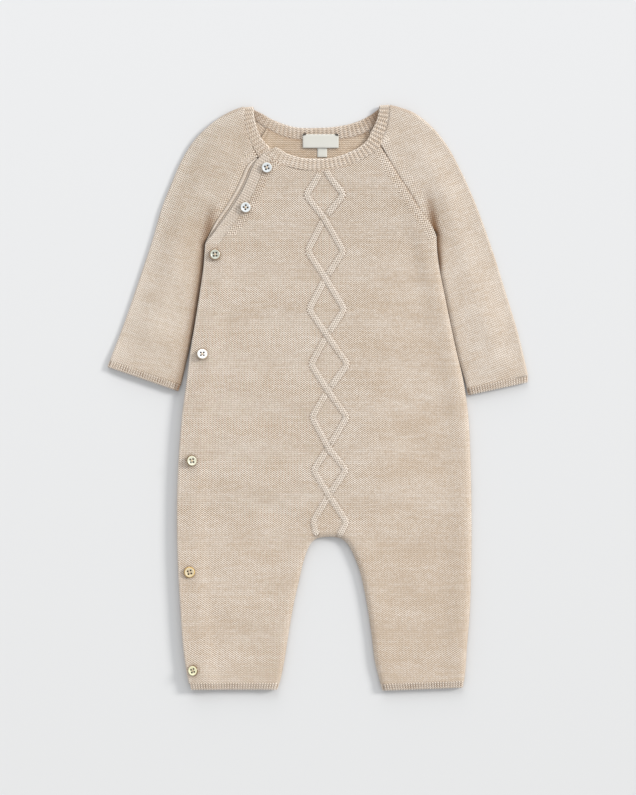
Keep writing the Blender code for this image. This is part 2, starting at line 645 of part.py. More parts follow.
def build_ring(name, table, height, front_z=None):
    """A flattened rib ring: a tube of cloth lying on its back half."""
    upper, lower = {}, {}
    n_flat = 5
    for i, u in enumerate((0.0, 0.5, 1.0)):
        a, b = np.array(table[0], float), np.array(table[1], float)
        row = a + (b - a) * u
        p, q = row[0:2], row[2:4]
        along = (q - p) / np.linalg.norm(q - p)
        r_out, r_in = height / 2, height / 2 - RIB
        c0, c1 = p + along * r_out, q - along * r_out
        loop = []
        for k in range(n_flat):
            s = k / (n_flat - 1)
            loop.append((c0 + (c1 - c0) * s, 0.0, 1.0))
        for d in (30, 60, 90, 120, 150):
            loop.append((c1, math.sin(math.radians(d)), math.cos(math.radians(d))))
        for k in range(n_flat):
            s = 1 - k / (n_flat - 1)
            loop.append((c0 + (c1 - c0) * s, 0.0, -1.0))
        for d in (150, 120, 90, 60, 30):
            loop.append((c0, -math.sin(math.radians(d)), math.cos(math.radians(d))))
        for j, (c, side, up) in enumerate(loop):
            for store, rad in ((upper, r_out), (lower, r_in)):
                w = c + along * rad * side
                store[(i, j)] = (w[0], w[1], height / 2 + rad * up)
    n = 2 * n_flat + 10
    faces = [[(i, j), (i, (j + 1) % n), (i + 1, (j + 1) % n), (i + 1, j)]
             for i in range(2) for j in range(n)]
    slab(name, upper, lower, faces, "rib")


# ----------------------------------------------------------------- neckband
def band_ring(free, seam, base, out, angle, wall):
    """Cross-section of a strip: free edge rounded, seamed edge square.  The
    angle turns it from face up (0) round a fold to face down (180)."""
    free, seam, out = np.array(free), np.array(seam), np.array(out)
    r = base / 2 + wall / 2                     # fold's middle radius
    sa, ca = math.sin(math.radians(angle)), math.cos(math.radians(angle))
    shape = [(0.0, -0.5), (0.0, 0.5), (0.86, 0.5), (0.97, 0.28), (0.97, -0.28), (0.86, -0.5)]
    ring = []
    mid_z = r + wall / 2 if angle not in (0, 180) else (base + wall / 2 if angle == 0 else wall / 2)
    for a, b in shape:
        xy = seam + (free - seam) * a
        if angle == 0:
            ring.append((xy[0], xy[1], base + wall / 2 + b * wall))
        elif angle == 180:
            ring.append((xy[0], xy[1], wall / 2 - b * wall))
        else:
            rm = base / 2
            xy = xy + out * (rm + b * wall) * sa
            ring.append((xy[0], xy[1], wall / 2 + rm + (rm + b * wall) * ca))
    return ring


def strip_stations(rows, n):
    c = Curve(rows)
    return c.line(n)


def build_neckband():
    rings = []
    under, back, front = strip_stations(NECK_UNDER, 13), strip_stations(NECK_BACK, 21), strip_stations(NECK_FRONT, 27)

    def fold(row, angles):
        free, seam = row[0:2], row[2:4]
        w = free - seam
        out = np.array([-w[1], w[0]]) / np.linalg.norm(w)
        if out[1] < 0:
            out = -out
        for a in angles:
            rings.append(band_ring(free, seam, 2.9, out, a, RIB))

    for row in under:
        rings.append(band_ring(row[0:2], row[2:4], row[4], (0, 1), 0, RIB if row[4] > 2.85 else RIB - 0.2))
    fold(under[-1], (36, 72, 108, 144))
    for row in back:
        rings.append(band_ring(row[0:2], row[2:4], 0.0, (0, 1), 180, RIB))
    fold(front[0], (144, 108, 72, 36))
    for row in front:
        rings.append(band_ring(row[0:2], row[2:4], row[4], (0, 1), 0, RIB))
    loft("neckband", rings, "rib")


# ------------------------------------------------------------ opening bands
def build_front_band():
    stations = OPENING_CURVE.line(13)
    rings = []
    for k, row in enumerate(stations):
        e, i = row[2:4].copy(), row[4:6].copy()
        if k == 0:
            e[1] += 0.45
            i += (-0.3, 0.5)
        if k == len(stations) - 1:
            e, i = np.array([-48.0, 211.6]), np.array([-41.7, 207.5])
        w = i - e
        w = w / np.linalg.norm(w)
        z = LAYER2 + LOFT + OVER_STAND + 0.05
        rings.append([(*(e + w * 0.0), z + 0.5), (*(e + w * 0.8), z), (*i, z),
                      (*i, z + BAND), (*(e + w * 0.8), z + BAND), (*e, z + BAND - 0.6)])
    loft("front_band", rings, "rib")


def build_raglan_stand():
    stations = OPENING_CURVE.line(13)
    rings = []
    for k, row in enumerate(stations):
        w0, h = row[0:2].copy(), row[6:8].copy()
        e = row[2:4]
        if k == len(stations) - 1:
            w0, h = np.array([-53.2, 208.2]), np.array([-47.2, 201.6])
        w = h - w0
        length = np.linalg.norm(w)
        w = w / length
        show = float((e - w0) @ w)          # width of the welt that shows
        rise = 0.75 * min(max((show - 0.8) / 3.0, 0.0), 1.0)
        show = min(max(show, 1.5), 5.0)
        z = LAYER2
        rings.append([(*w0, z), (*h, z), (*h, z + STAND), (*(w0 + w * show), z + STAND),
                      (*(w0 + w * show * 0.5), z + STAND + rise), (*(w0 + w * 0.3), z + STAND + 0.6 * rise)])
    loft("raglan_stand", rings, "rib")


def build_side_stand():
    rings = []
    for y in np.linspace(-253.4, 132.8, 16):
        x = body_x(y)[0]
        z = LAYER2
        rings.append([(x + 0.8, y, z + 0.3), (x + 1.4, y, z), (x + STAND_REACH, y, z),
                      (x + STAND_REACH, y, z + STAND), (x + 1.4, y, z + STAND), (x + 0.8, y, z + STAND - 0.4)])
    loft("side_stand", rings, "rib")


# ---------------------------------------------------------- buttons, labels
def button_mesh():
    """A turned disc with a sunk middle and four thread holes."""
    r, t = BUTTON_D / 2, BUTTON_T
    profile = [(0.0, 0.0), (r * 0.80, 0.0), (r, t * 0.42), (r * 0.94, t * 0.88),
               (r * 0.80, t), (r * 0.66, t * 0.70), (0.0, t * 0.62)]
    bm = bmesh.new()
    verts = [bm.verts.new((x * MM, 0, z * MM)) for x, z in profile]
    edges = [bm.edges.new(p) for p in zip(verts, verts[1:])]
    bmesh.ops.spin(bm, geom=verts + edges, cent=(0, 0, 0), axis=(0, 0, 1),
                   angle=2 * math.pi, steps=20, use_merge=True)
    bmesh.ops.remove_doubles(bm, verts=bm.verts[:], dist=0.00001)
    bmesh.ops.recalc_face_normals(bm, faces=bm.faces[:])
    mesh = bpy.data.meshes.new("button_blank")
    bm.to_mesh(mesh)
    bm.free()
    blank = bpy.data.objects.new("button_blank", mesh)
    bpy.context.scene.collection.objects.link(blank)
    drill = bmesh.new()
    for sx in (-1, 1):
        for sy in (-1, 1):
            at = Matrix.Translation((sx * BUTTON_HOLE_AT * MM, sy * BUTTON_HOLE_AT * MM, t * 0.5 * MM))
            bmesh.ops.create_cone(drill, cap_ends=True, segments=8, radius1=BUTTON_HOLE / 2 * MM,
                                  radius2=BUTTON_HOLE / 2 * MM, depth=2 * t * MM, matrix=at)
    cut_mesh = bpy.data.meshes.new("drill")
    drill.to_mesh(cut_mesh)
    drill.free()
    cutter = bpy.data.objects.new("drill", cut_mesh)
    cutter.hide_render = True
    cutter.display_type = "WIRE"
    bpy.context.scene.collection.objects.link(cutter)
    cut = blank.modifiers.new("holes", "BOOLEAN")
    cut.operation = "DIFFERENCE"
    cut.solver = "EXACT"
    cut.object = cutter
    graph = bpy.context.evaluated_depsgraph_get()
    done = bpy.data.meshes.new_from_object(blank.evaluated_get(graph))
    bpy.data.objects.remove(blank)
    bpy.data.objects.remove(cutter)
    return done


def build_buttons():
    base = button_mesh()
    base.shade_smooth()
    base.set_sharp_from_angle(angle=math.radians(35))
    for i, (x, y, z, tx, ty) in enumerate(BUTTONS, 1):
        mesh = base.copy()
        mesh.name = "button_%d" % i
        obj = bpy.data.objects.new("button_%d" % i, mesh)
        bpy.context.scene.collection.objects.link(obj)
        obj.parent = ROOT
        lift = BUTTON_D / 2 * math.sin(math.radians(math.hypot(tx, ty)))
        obj.location = place(x, y, z + GAP + lift)
        obj.rotation_euler = Euler((math.radians(tx), math.radians(ty), math.radians(17 * i)))
        mat = bpy.data.materials.new("button_%d" % i)
        mat.use_nodes = True
        shader = mat.node_tree.nodes["Principled BSDF"]
        shader.inputs["Base Color"].default_value = COLOURS["shell"] + (1.0,)
        shader.inputs["Roughness"].default_value = 0.35
        mesh.materials.clear()
        mesh.materials.append(mat)


def build_plate(name, box):
    x0, x1, y0, y1, z0, z1 = box
    bm = bmesh.new()
    rows = [[bm.verts.new(place(x, y, z)) for x, y in ((x0, y0), (x1, y0), (x1, y1), (x0, y1))] for z in (z0, z1)]
    bm.faces.new(list(reversed(rows[0])))
    bm.faces.new(rows[1])
    for i in range(4):
        j = (i + 1) % 4
        bm.faces.new([rows[0][i], rows[0][j], rows[1][j], rows[1][i]])
    finish(name, bm, "label")


# -------------------------------------------------------------------- build
for thing in list(bpy.data.objects):
    bpy.data.objects.remove(thing)
ROOT = bpy.data.objects.new("romper", None)
bpy.context.scene.collection.objects.link(ROOT)

build_back()
build_front()
build_sleeve("sleeve_opening_side", SLEEVE_OPEN, TROUGH_OPEN, np.linspace(0, 1, 17))
build_sleeve("sleeve_closed_side", SLEEVE_SHUT, TROUGH_SHUT, np.linspace(0, 1, 17))
build_neckband()
build_front_band()
build_raglan_stand()
build_side_stand()
build_ring("cuff_opening_side", CUFF_OPEN, CUFF_H)
build_ring("cuff_closed_side", CUFF_SHUT, CUFF_H)
build_hem_open()
build_ring("hem_closed_side", [(b[2], b[3], b[0], b[1]) for b in HEM_SHUT], LAYER2 + LOFT + RIB + 0.3)
build_buttons()
build_plate("neck_label", NECK_LABEL)
build_plate("size_tag", SIZE_TAG)
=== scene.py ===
"""The looks of the baby romper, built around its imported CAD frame.

Every cloth piece is a thin knitted shell on its solid's form.  The tables are
the CAD's own, in millimetres in the garment's plane; place() puts them in the
row frame, in metres.  Each point of a knitted piece carries its wale and its
course number, so the stitches follow the cloth as it was knitted.
"""

import math

import bmesh
import bpy
import numpy as np
from mathutils import Euler, Matrix, Vector


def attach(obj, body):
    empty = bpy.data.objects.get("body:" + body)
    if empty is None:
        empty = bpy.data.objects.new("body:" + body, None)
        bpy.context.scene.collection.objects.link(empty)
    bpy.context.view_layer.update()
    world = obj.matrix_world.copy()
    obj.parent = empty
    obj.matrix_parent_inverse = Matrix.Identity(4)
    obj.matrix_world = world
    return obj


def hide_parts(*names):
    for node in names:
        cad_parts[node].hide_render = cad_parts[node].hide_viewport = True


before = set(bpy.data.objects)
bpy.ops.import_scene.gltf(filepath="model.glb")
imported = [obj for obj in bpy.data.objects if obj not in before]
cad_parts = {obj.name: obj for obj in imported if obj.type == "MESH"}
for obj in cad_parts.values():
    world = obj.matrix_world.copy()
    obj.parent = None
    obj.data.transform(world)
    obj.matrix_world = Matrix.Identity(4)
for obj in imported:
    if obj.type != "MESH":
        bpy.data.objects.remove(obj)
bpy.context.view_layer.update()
MM = 0.001

# ---------------------------------------------------------------- sizes (mm)
KNIT, RIB, BAND, STAND = 2.4, 2.4, 2.2, 1.9
LAYER2 = 2.7
LOFT, OVER_STAND, STAND_REACH = 1.2, 1.25, 14.0
EDGE_R = 5.4
SHIFT = (-0.20, -0.35)
COURSE = 1.78                       # stitch height on the body
# STITCH_WIDTH: y, width of a stitch: the knit is wider down the body
STITCH_WIDTH = [(-255.0, 2.80), (-190.0, 2.70), (-120.0, 2.60), (-60.0, 2.56), (-10.0, 2.52),
                (50.0, 2.42), (110.0, 2.33), (230.0, 2.28)]
WALE = 2.5                          # and its middle value
SLEEVE_WALE, SLEEVE_COURSE = 2.23, 1.84
SLEEVE_LEAN = 17.0                  # degrees the sleeves' wales lean outwards
HEM_PITCH = 2.30                    # ribs of cuffs and hems
BAND_PITCH = 2.35                   # the opening band's ribs
RIB_PITCH = 3.75                    # one rib and its gap on neck, cuffs, hems

# ------------------------------------------------ tables, as in the CAD (mm)
BODY = [
    (-254.0, -110.9, 127.0), (-241.9, -113.3, 128.6), (-218.4, -116.8, 130.3),
    (-187.9, -119.1, 132.7), (-156.6, -121.0, 133.8), (-102.7, -122.4, 134.2),
    (-54.8, -121.0, 133.4), (-15.7, -117.9, 131.4), (13.9, -114.0, 127.4),
    (41.8, -110.4, 121.3), (69.6, -105.9, 115.4), (92.2, -102.4, 110.8),
    (111.4, -99.6, 107.0), (133.6, -97.9, 104.2), (140.1, -97.7, 104.0),
]
INSEAM = [
    (-34.9, -254.5), (-33.1, -248.5), (-29.1, -230.6), (-25.7, -208.8),
    (-20.8, -180.1), (-16.1, -159.2), (-11.6, -140.6), (-8.4, -131.6),
    (-5.2, -126.0), (-1.6, -122.9), (3.5, -121.5), (10.5, -121.0),
    (17.5, -121.5), (22.0, -123.2), (25.6, -126.4), (29.0, -131.6),
    (31.8, -137.6), (36.1, -148.5), (40.6, -166.6), (44.0, -185.3),
    (47.3, -207.9), (50.1, -230.6), (54.9, -249.2), (56.4, -255.5),
]
CROTCH_L, CROTCH_R = 8, 14
OPENING = [
    (-97.3, 135.4, -97.9, 133.9, -86.4, 133.9, -84.5, 134.5),
    (-88.9, 152.5, -85.7, 150.2, -78.2, 144.8, -76.8, 143.8),
    (-79.4, 166.8, -75.5, 164.4, -67.6, 159.5, -66.2, 158.6),
    (-71.5, 180.2, -67.2, 177.7, -59.1, 173.1, -57.7, 172.2),
    (-65.9, 191.8, -61.2, 189.7, -52.7, 185.9, -51.2, 185.4),
    (-61.8, 201.3, -57.2, 199.5, -48.6, 195.8, -47.3, 195.0),
    (-57.4, 205.9, -53.0, 206.8, -44.2, 202.0, -46.6, 199.6),
    (-52.9, 209.3, -47.6, 212.2, -40.1, 207.4, -46.9, 202.9),
]
RAGLAN = [(104.0, 140.1), (98.2, 151.4), (89.6, 163.5), (79.8, 179.4),
          (71.1, 192.4), (62.4, 206.8), (54.6, 220.4)]
BACK_RAGLANS = [
    (-97.9, 133.6, 104.2, 140.1), (-88.5, 152.4, 96.0, 152.8),
    (-79.5, 170.2, 87.0, 166.2), (-69.5, 189.2, 76.5, 182.2),
    (-61.0, 205.2, 66.0, 198.2), (-53.5, 219.2, 55.5, 214.2),
    (-45.2, 234.3, 44.5, 231.4),
]
NECK_UNDER = [
    (-36.3, 211.8, -46.0, 204.4, 2.7), (-41.5, 217.9, -51.2, 210.5, 2.7),
    (-45.2, 222.2, -54.0, 215.3, 2.8), (-48.8, 226.5, -57.2, 221.5, 3.0),
    (-53.1, 237.5, -61.6, 234.0, 3.0), (-55.2, 246.5, -63.6, 245.5, 3.0),
    (-55.6, 251.3, -63.9, 250.7, 2.9),
]
NECK_BACK = [
    (-55.6, 251.3, -63.9, 250.7, 0.0), (-49.0, 248.2, -55.6, 243.2, 0.0),
    (-40.5, 243.3, -44.8, 235.3, 0.0), (-30.9, 239.3, -33.0, 228.6, 0.0),
    (-20.8, 236.3, -20.8, 225.3, 0.0), (-0.9, 235.4, -0.9, 224.6, 0.0),
    (19.1, 237.0, 20.4, 225.2, 0.0), (30.0, 239.4, 33.0, 227.4, 0.0),
    (38.7, 242.6, 44.0, 231.9, 0.0), (47.6, 247.6, 54.6, 240.8, 0.0),
    (53.9, 252.4, 62.2, 253.0, 0.0),
]
NECK_FRONT = [
    (53.9, 252.4, 62.2, 253.0, 2.9), (51.8, 243.0, 61.6, 240.1, 3.2),
    (46.9, 232.0, 57.6, 227.1, 3.6), (43.1, 224.6, 52.6, 218.0, 3.9),
    (37.0, 219.0, 42.8, 210.7, 3.9), (25.7, 213.2, 29.1, 204.1, 3.9),
    (12.4, 209.1, 14.4, 199.5, 3.9), (-0.9, 208.4, -0.9, 198.3, 3.9),
    (-14.4, 209.3, -15.8, 199.5, 4.2), (-26.0, 212.8, -30.2, 203.4, 4.8),
    (-33.2, 216.9, -40.2, 208.1, 5.3), (-36.1, 218.4, -46.8, 213.0, 5.3),
]
SLEEVE_OPEN = [
    (-118.9, 11.4, -181.1, 32.7, -118.9, 11.4, 5.0, 0.0, 0.0, 2.5, 1.0),
    (-110.9, 46.1, -169.2, 63.5, -110.9, 46.1, 6.6, 0.0, 0.0, 3.9, 1.0),
    (-104.6, 85.3, -156.2, 100.9, -104.6, 85.3, 6.6, 0.0, 0.0, 3.9, 1.0),
    (-100.0, 118.3, -144.0, 137.5, -100.0, 118.3, 6.6, 0.0, 0.0, 3.9, 1.0),
    (-98.9, 133.4, -134.4, 169.6, -98.9, 133.4, 6.6, 0.0, 0.0, 3.6, 1.0),
    (-89.5, 152.3, -127.5, 186.5, -89.1, 152.6, 6.6, 0.0, 0.0, 3.2, 0.0),
    (-80.0, 166.6, -118.5, 207.0, -80.1, 170.4, 6.6, 0.0, 0.0, 3.1, 0.0),
    (-72.1, 180.0, -107.5, 224.5, -70.1, 189.4, 6.6, 0.0, 0.0, 3.1, 0.0),
    (-66.5, 191.6, -95.0, 237.0, -61.6, 205.4, 6.4, 0.5, 0.3, 3.1, 0.0),
    (-62.4, 201.4, -81.0, 247.0, -54.1, 219.4, 6.0, 1.5, 0.7, 3.1, 0.0),
    (-53.6, 210.6, -66.2, 254.0, -46.0, 234.2, 5.5, 2.9, 1.6, 3.1, 0.0),
]
SLEEVE_SHUT = [
    (129.8, 8.4, 183.5, 20.0, 129.8, 8.4, 5.0, 0.0, 0.0, 2.5, 1.0),
    (121.8, 46.0, 174.9, 56.0, 121.8, 46.0, 6.6, 0.0, 0.0, 3.9, 1.0),
    (114.2, 82.0, 163.5, 93.5, 114.2, 82.0, 6.6, 0.0, 0.0, 3.9, 1.0),
    (107.7, 115.0, 152.2, 129.5, 107.7, 115.0, 6.6, 0.0, 0.0, 3.9, 1.0),
    (105.3, 139.3, 140.0, 163.5, 105.3, 139.3, 6.6, 0.0, 0.0, 3.6, 1.0),
    (98.7, 151.7, 132.5, 182.0, 96.6, 153.1, 6.6, 0.0, 0.0, 3.7, 0.0),
    (90.1, 163.8, 124.0, 200.0, 87.6, 166.5, 6.6, 0.0, 0.0, 3.9, 0.0),
    (80.3, 179.7, 112.0, 221.5, 77.1, 182.5, 6.6, 0.0, 0.0, 3.9, 0.0),
    (71.6, 192.7, 99.5, 236.5, 66.6, 198.5, 6.4, 0.4, 0.3, 3.9, 0.0),
    (62.9, 207.1, 84.5, 248.3, 56.1, 214.5, 6.0, 1.1, 1.0, 3.8, 0.0),
    (55.4, 221.3, 64.6, 255.6, 45.1, 231.4, 5.6, 2.3, 2.4, 3.7, 0.0),
]
TROUGH_OPEN = [(-90.9, 162.7), (-93.5, 152.0), (-96.5, 140.0), (-98.9, 131.0)]
TROUGH_SHUT = [(97.0, 181.0), (99.0, 166.0), (102.0, 151.0), (105.3, 137.0)]
# where the sleeves sink beside the body, from the top
GROOVE_OPEN = [(-90.6, 174.0), (-92.0, 163.0), (-93.4, 155.0), (-95.3, 145.5), (-98.9, 134.0)]
GROOVE_SHUT = [(93.5, 189.0), (97.2, 175.0), (99.6, 163.0), (101.8, 150.0), (105.3, 137.0)]
CUFF_OPEN = [(-121.4, 5.8, -183.1, 27.0), (-119.6, 11.0, -181.2, 32.3)]
CUFF_SHUT = [(131.4, 2.4, 183.1, 13.6), (130.0, 8.0, 183.2, 19.6)]
HEM_OPEN = [(-110.9, -254.0, -34.9, -254.0), (-112.0, -248.3, -33.2, -248.3)]
HEM_SHUT = [(126.9, -252.3, 56.4, -254.9), (127.5, -246.7, 55.0, -249.3)]
BUTTONS = [
    (-44.2, 200.4, 7.55, 4.0, -3.0), (-62.7, 165.7, 7.55, -2.0, -4.0),
    (-89.2, 124.7, 7.60, 2.0, 3.5), (-100.2, 37.9, 7.60, -2.0, 3.0),
    (-109.6, -54.6, 7.60, 2.0, 4.0), (-111.3, -151.4, 7.60, -3.0, 3.5),
    (-107.7, -236.9, 7.60, 4.0, -2.0),
]
NECK_LABEL = (-12.9, 18.4, 217.7, 229.7, 3.5, 4.1)
SIZE_TAG = (-0.2, 8.4, 209.6, 224.0, 2.7, 3.2)

# ------------------------------------------------------------- looks' tables
# CABLE: the left and the right of the diamonds, from the neck down.
# columns: y of the widest place, x of the left strand, x of the right strand
CABLE_WIDE = [(177.0, -9.2, 21.8), (127.9, -7.9, 21.8), (77.4, -6.6, 22.6),
              (29.6, -4.8, 25.3), (-16.5, -3.9, 24.8), (-62.6, -2.6, 24.0),
              (-107.9, -3.3, 24.7)]
# columns: y, x where the strands cross
CABLE_CROSS = [(156.6, 5.7), (104.4, 7.0), (54.8, 8.3), (6.5, 9.1),
               (-43.2, 9.4), (-84.4, 10.0)]
STRAND = 2.70                       # half the width of a cable's strand
STRAND_H = 0.62                     # how far it stands up

# CREASES: soft troughs (negative) and ridges, placed on the front.
# columns: x, y of one end; x, y of the other end; half width; height
CREASES = [
    (84.0, 158.0, 98.0, 96.0, 6.5, 0.55),
    (72.0, 172.0, 86.0, 100.0, 8.0, -0.40),
    (-62.0, 188.0, -44.0, 128.0, 9.0, 0.30),
    (-92.0, 112.0, -84.0, 40.0, 10.0, -0.30),
    (-60.0, 62.0, -20.0, 74.0, 12.0, -0.25),
    (34.0, 120.0, 82.0, 108.0, 12.0, 0.25),
    (40.0, 36.0, 98.0, 24.0, 14.0, -0.30),
    (-96.0, -30.0, -30.0, -44.0, 13.0, 0.30),
    (-100.0, -108.0, -14.0, -96.0, 11.0, -0.40),
    (-6.0, -112.0, -52.0, -92.0, 6.0, -0.35),
    (26.0, -112.0, 70.0, -88.0, 6.0, -0.35),
    (34.0, -116.0, 116.0, -120.0, 12.0, 0.30),
    (-84.0, -190.0, -40.0, -176.0, 12.0, 0.30),
    (60.0, -168.0, 118.0, -186.0, 14.0, -0.30),
    (60.0, -214.0, 112.0, -222.0, 11.0, 0.30),
    (-92.0, -222.0, -52.0, -214.0, 10.0, -0.30),
]
SLEEVE_CREASES = [
    (-112.0, 196.0, -106.0, 138.0, 8.0, -0.45),
    (-132.0, 150.0, -118.0, 88.0, 9.0, 0.35),
    (-158.0, 84.0, -124.0, 62.0, 9.0, -0.30),
    (-150.0, 46.0, -126.0, 58.0, 8.0, 0.30),
    (-86.0, 226.0, -74.0, 204.0, 7.0, 0.30),
    (118.0, 190.0, 112.0, 146.0, 7.0, 0.50),
    (128.0, 168.0, 140.0, 96.0, 10.0, -0.35),
    (132.0, 74.0, 164.0, 66.0, 9.0, 0.30),
    (136.0, 40.0, 170.0, 44.0, 9.0, -0.30),
    (84.0, 228.0, 76.0, 206.0, 7.0, -0.30),
]


# ------------------------------------------------------------------ geometry
class Curve:
    """A smooth curve through a short table's rows, t from 0 to 1."""

    def __init__(self, rows, t=None):
        self.p = np.array(rows, float)
        if t is None:
            step = np.linalg.norm(np.diff(self.p[:, :2], axis=0), axis=1)
            t = np.concatenate([[0.0], np.cumsum(step)])
            t = t / t[-1]
        self.t = np.array(t, float)
        h = np.diff(self.t)[:, None]
        s = np.diff(self.p, axis=0) / h
        m = np.empty_like(self.p)
        m[0], m[-1] = s[0], s[-1]
        m[1:-1] = (h[1:] * s[:-1] + h[:-1] * s[1:]) / (h[1:] + h[:-1])
        self.m = m

    def at(self, t):
        t = np.atleast_1d(np.clip(t, 0.0, 1.0))
        i = np.clip(np.searchsorted(self.t, t, side="right") - 1, 0, len(self.t) - 2)
        h = (self.t[i + 1] - self.t[i])[:, None]
        u = ((t - self.t[i])[:, None]) / h
        return ((2 * u**3 - 3 * u**2 + 1) * self.p[i] + (u**3 - 2 * u**2 + u) * h * self.m[i]
                + (3 * u**2 - 2 * u**3) * self.p[i + 1] + (u**3 - u**2) * h * self.m[i + 1])

    def line(self, n):
        return self.at(np.linspace(0, 1, n))


def smooth(a):
    a = np.clip(a, 0.0, 1.0)
    return a * a * (3 - 2 * a)


def round_off(s):
    s = np.clip(s, 0.0, 1.0)
    return np.sqrt(np.maximum(0.0, 1 - (1 - s) ** 2))


def bell(x, w):
    return np.exp(-((x / w) ** 2))


def nearest(line, points):
    """For many points: distance to a polyline, the way to its left there, the
    fraction along it, the side (+1 left of it) and the length along it."""
    a, d = line[:-1], np.diff(line, axis=0)
    sq = np.maximum((d * d).sum(1), 1e-12)
    run = np.concatenate([[0.0], np.cumsum(np.sqrt(sq))])
    n = len(points)
    dist, norm = np.empty(n), np.empty((n, 2))
    frac, side, along = np.empty(n), np.empty(n), np.empty(n)
    for s in range(0, n, 8000):
        q = points[s:s + 8000]
        rel = q[:, None, :] - a[None]
        f = np.clip((rel * d[None]).sum(2) / sq, 0, 1)
        off = rel - d[None] * f[..., None]
        r2 = (off * off).sum(2)
        i = r2.argmin(1)
        k = np.arange(len(q))
        dist[s:s + 8000] = np.sqrt(r2[k, i])
        w = np.stack([-d[i, 1], d[i, 0]], 1) / np.sqrt(sq[i])[:, None]
        norm[s:s + 8000] = w
        frac[s:s + 8000] = (i + f[k, i]) / len(a)
        along[s:s + 8000] = run[i] + f[k, i] * np.sqrt(sq[i])
        side[s:s + 8000] = np.sign((off[k, i] * w).sum(1) + 1e-9)
    return dist, norm, frac, side, along


def lattice(ix, iy, seed):
    """A repeatable random number for each lattice point, -1 to 1."""
    h = np.sin(ix * 127.1 + iy * 311.7 + seed * 74.7) * 43758.5453
    return (h - np.floor(h)) * 2 - 1


def lumps(x, y, size, seed):
    """Smooth value noise with lumps of about that size."""
    u, v = x / size, y / size
    ix, iy = np.floor(u), np.floor(v)
    fx, fy = smooth(u - ix), smooth(v - iy)
    a = lattice(ix, iy, seed) * (1 - fx) + lattice(ix + 1, iy, seed) * fx
    b = lattice(ix, iy + 1, seed) * (1 - fx) + lattice(ix + 1, iy + 1, seed) * fx
    return a * (1 - fy) + b * fy


BODY_EDGE = Curve([(0.0,) + row for row in BODY],
                  t=[(r[0] - BODY[0][0]) / (BODY[-1][0] - BODY[0][0]) for r in BODY])
INSEAM_CURVE = Curve(INSEAM)
OPENING_CURVE = Curve(OPENING)
RAGLAN_CURVE = Curve(RAGLAN)


def body_x(y):
    row = BODY_EDGE.at((np.atleast_1d(y) - BODY[0][0]) / (BODY[-1][0] - BODY[0][0]))
    return row[:, 2], row[:, 3]


def side_line(which, top):
    ys = np.linspace(BODY[0][0], top, 90)
    return np.stack([body_x(ys)[which], ys], 1)


OPEN_SIDE = side_line(0, 133.6)
SHUT_SIDE = side_line(1, 140.1)
INSEAM_LINE = INSEAM_CURVE.line(200)
OPENING_LINE = OPENING_CURVE.line(90)
OVERLAP_LINE = np.vstack([OPEN_SIDE, OPENING_LINE[:, 2:4]])
RAGLAN_LINE = RAGLAN_CURVE.line(90)
NECK_SEAM = Curve([r[2:4] for r in NECK_FRONT]).line(160)
BAND_INNER = OPENING_LINE[:, 4:6]


def relief(x, y):
    """The cloth's own unevenness, as it lies."""
    return (0.30 * lumps(x, y, 44.0, 1) + 0.16 * lumps(x + 9, y, 19.0, 2)
            + 0.07 * lumps(x, y + 5, 7.0, 3) + 0.035 * lumps(x, y, 3.1, 4))


def creases(points, table):
    """Soft troughs and ridges that fade out towards their ends."""
    out = np.zeros(len(points))
    for x0, y0, x1, y1, w, h in table:
        a, d = np.array([x0, y0]), np.array([x1 - x0, y1 - y0])
        f = ((points - a) @ d) / (d @ d)
        r = np.abs((points - a) @ np.array([-d[1], d[0]])) / np.linalg.norm(d)
        out += h * bell(r, w) * bell(np.maximum(np.abs(f - 0.5) - 0.22, 0), 0.22)
    return out


def strands():
    """The cable's two strands as polylines from the top, through their
    crossings, with rounded corners."""
    lines = []
    for k in (0, 1):
        pts = []
        if k == 0:
            pts += [(3.2, 197.0), (-3.6, 186.2)]
        else:
            pts += [(7.0, 199.0), (11.6, 191.0)]
        for i, (y, xl, xr) in enumerate(CABLE_WIDE):
            left = (i + k) % 2 == 0
            x = xl if left else xr
            pts.append((x, y + 1.3, True))
            pts.append((x, y - 1.3, True))
            if i < len(CABLE_CROSS):
                pts.append((CABLE_CROSS[i][1], CABLE_CROSS[i][0]))
        left = (len(CABLE_WIDE) - 1 + k) % 2 == 0
        pts.append((-0.9, -118.5) if left else (19.0, -119.5))
        pts = [p[:2] for p in pts]
        fine = []
        for p, q in zip(pts, pts[1:]):
            for f in np.linspace(0, 1, 40, endpoint=False):
                fine.append((p[0] + (q[0] - p[0]) * f, p[1] + (q[1] - p[1]) * f))
        fine.append(pts[-1])
        fine = np.array(fine)
        # round its corners
        length = np.concatenate([[0.0], np.cumsum(np.linalg.norm(np.diff(fine, axis=0), axis=1))])
        at = np.arange(0, length[-1], 0.5)
        line = np.stack([np.interp(at, length, fine[:, j]) for j in (0, 1)], 1)
        kern = np.hanning(13)
        kern /= kern.sum()
        pad = np.vstack([np.repeat(line[:1], 6, 0), line, np.repeat(line[-1:], 6, 0)])
        line = np.stack([np.convolve(pad[:, j], kern, "valid") for j in (0, 1)], 1)
        lines.append(line)
    return lines


STRANDS = strands()


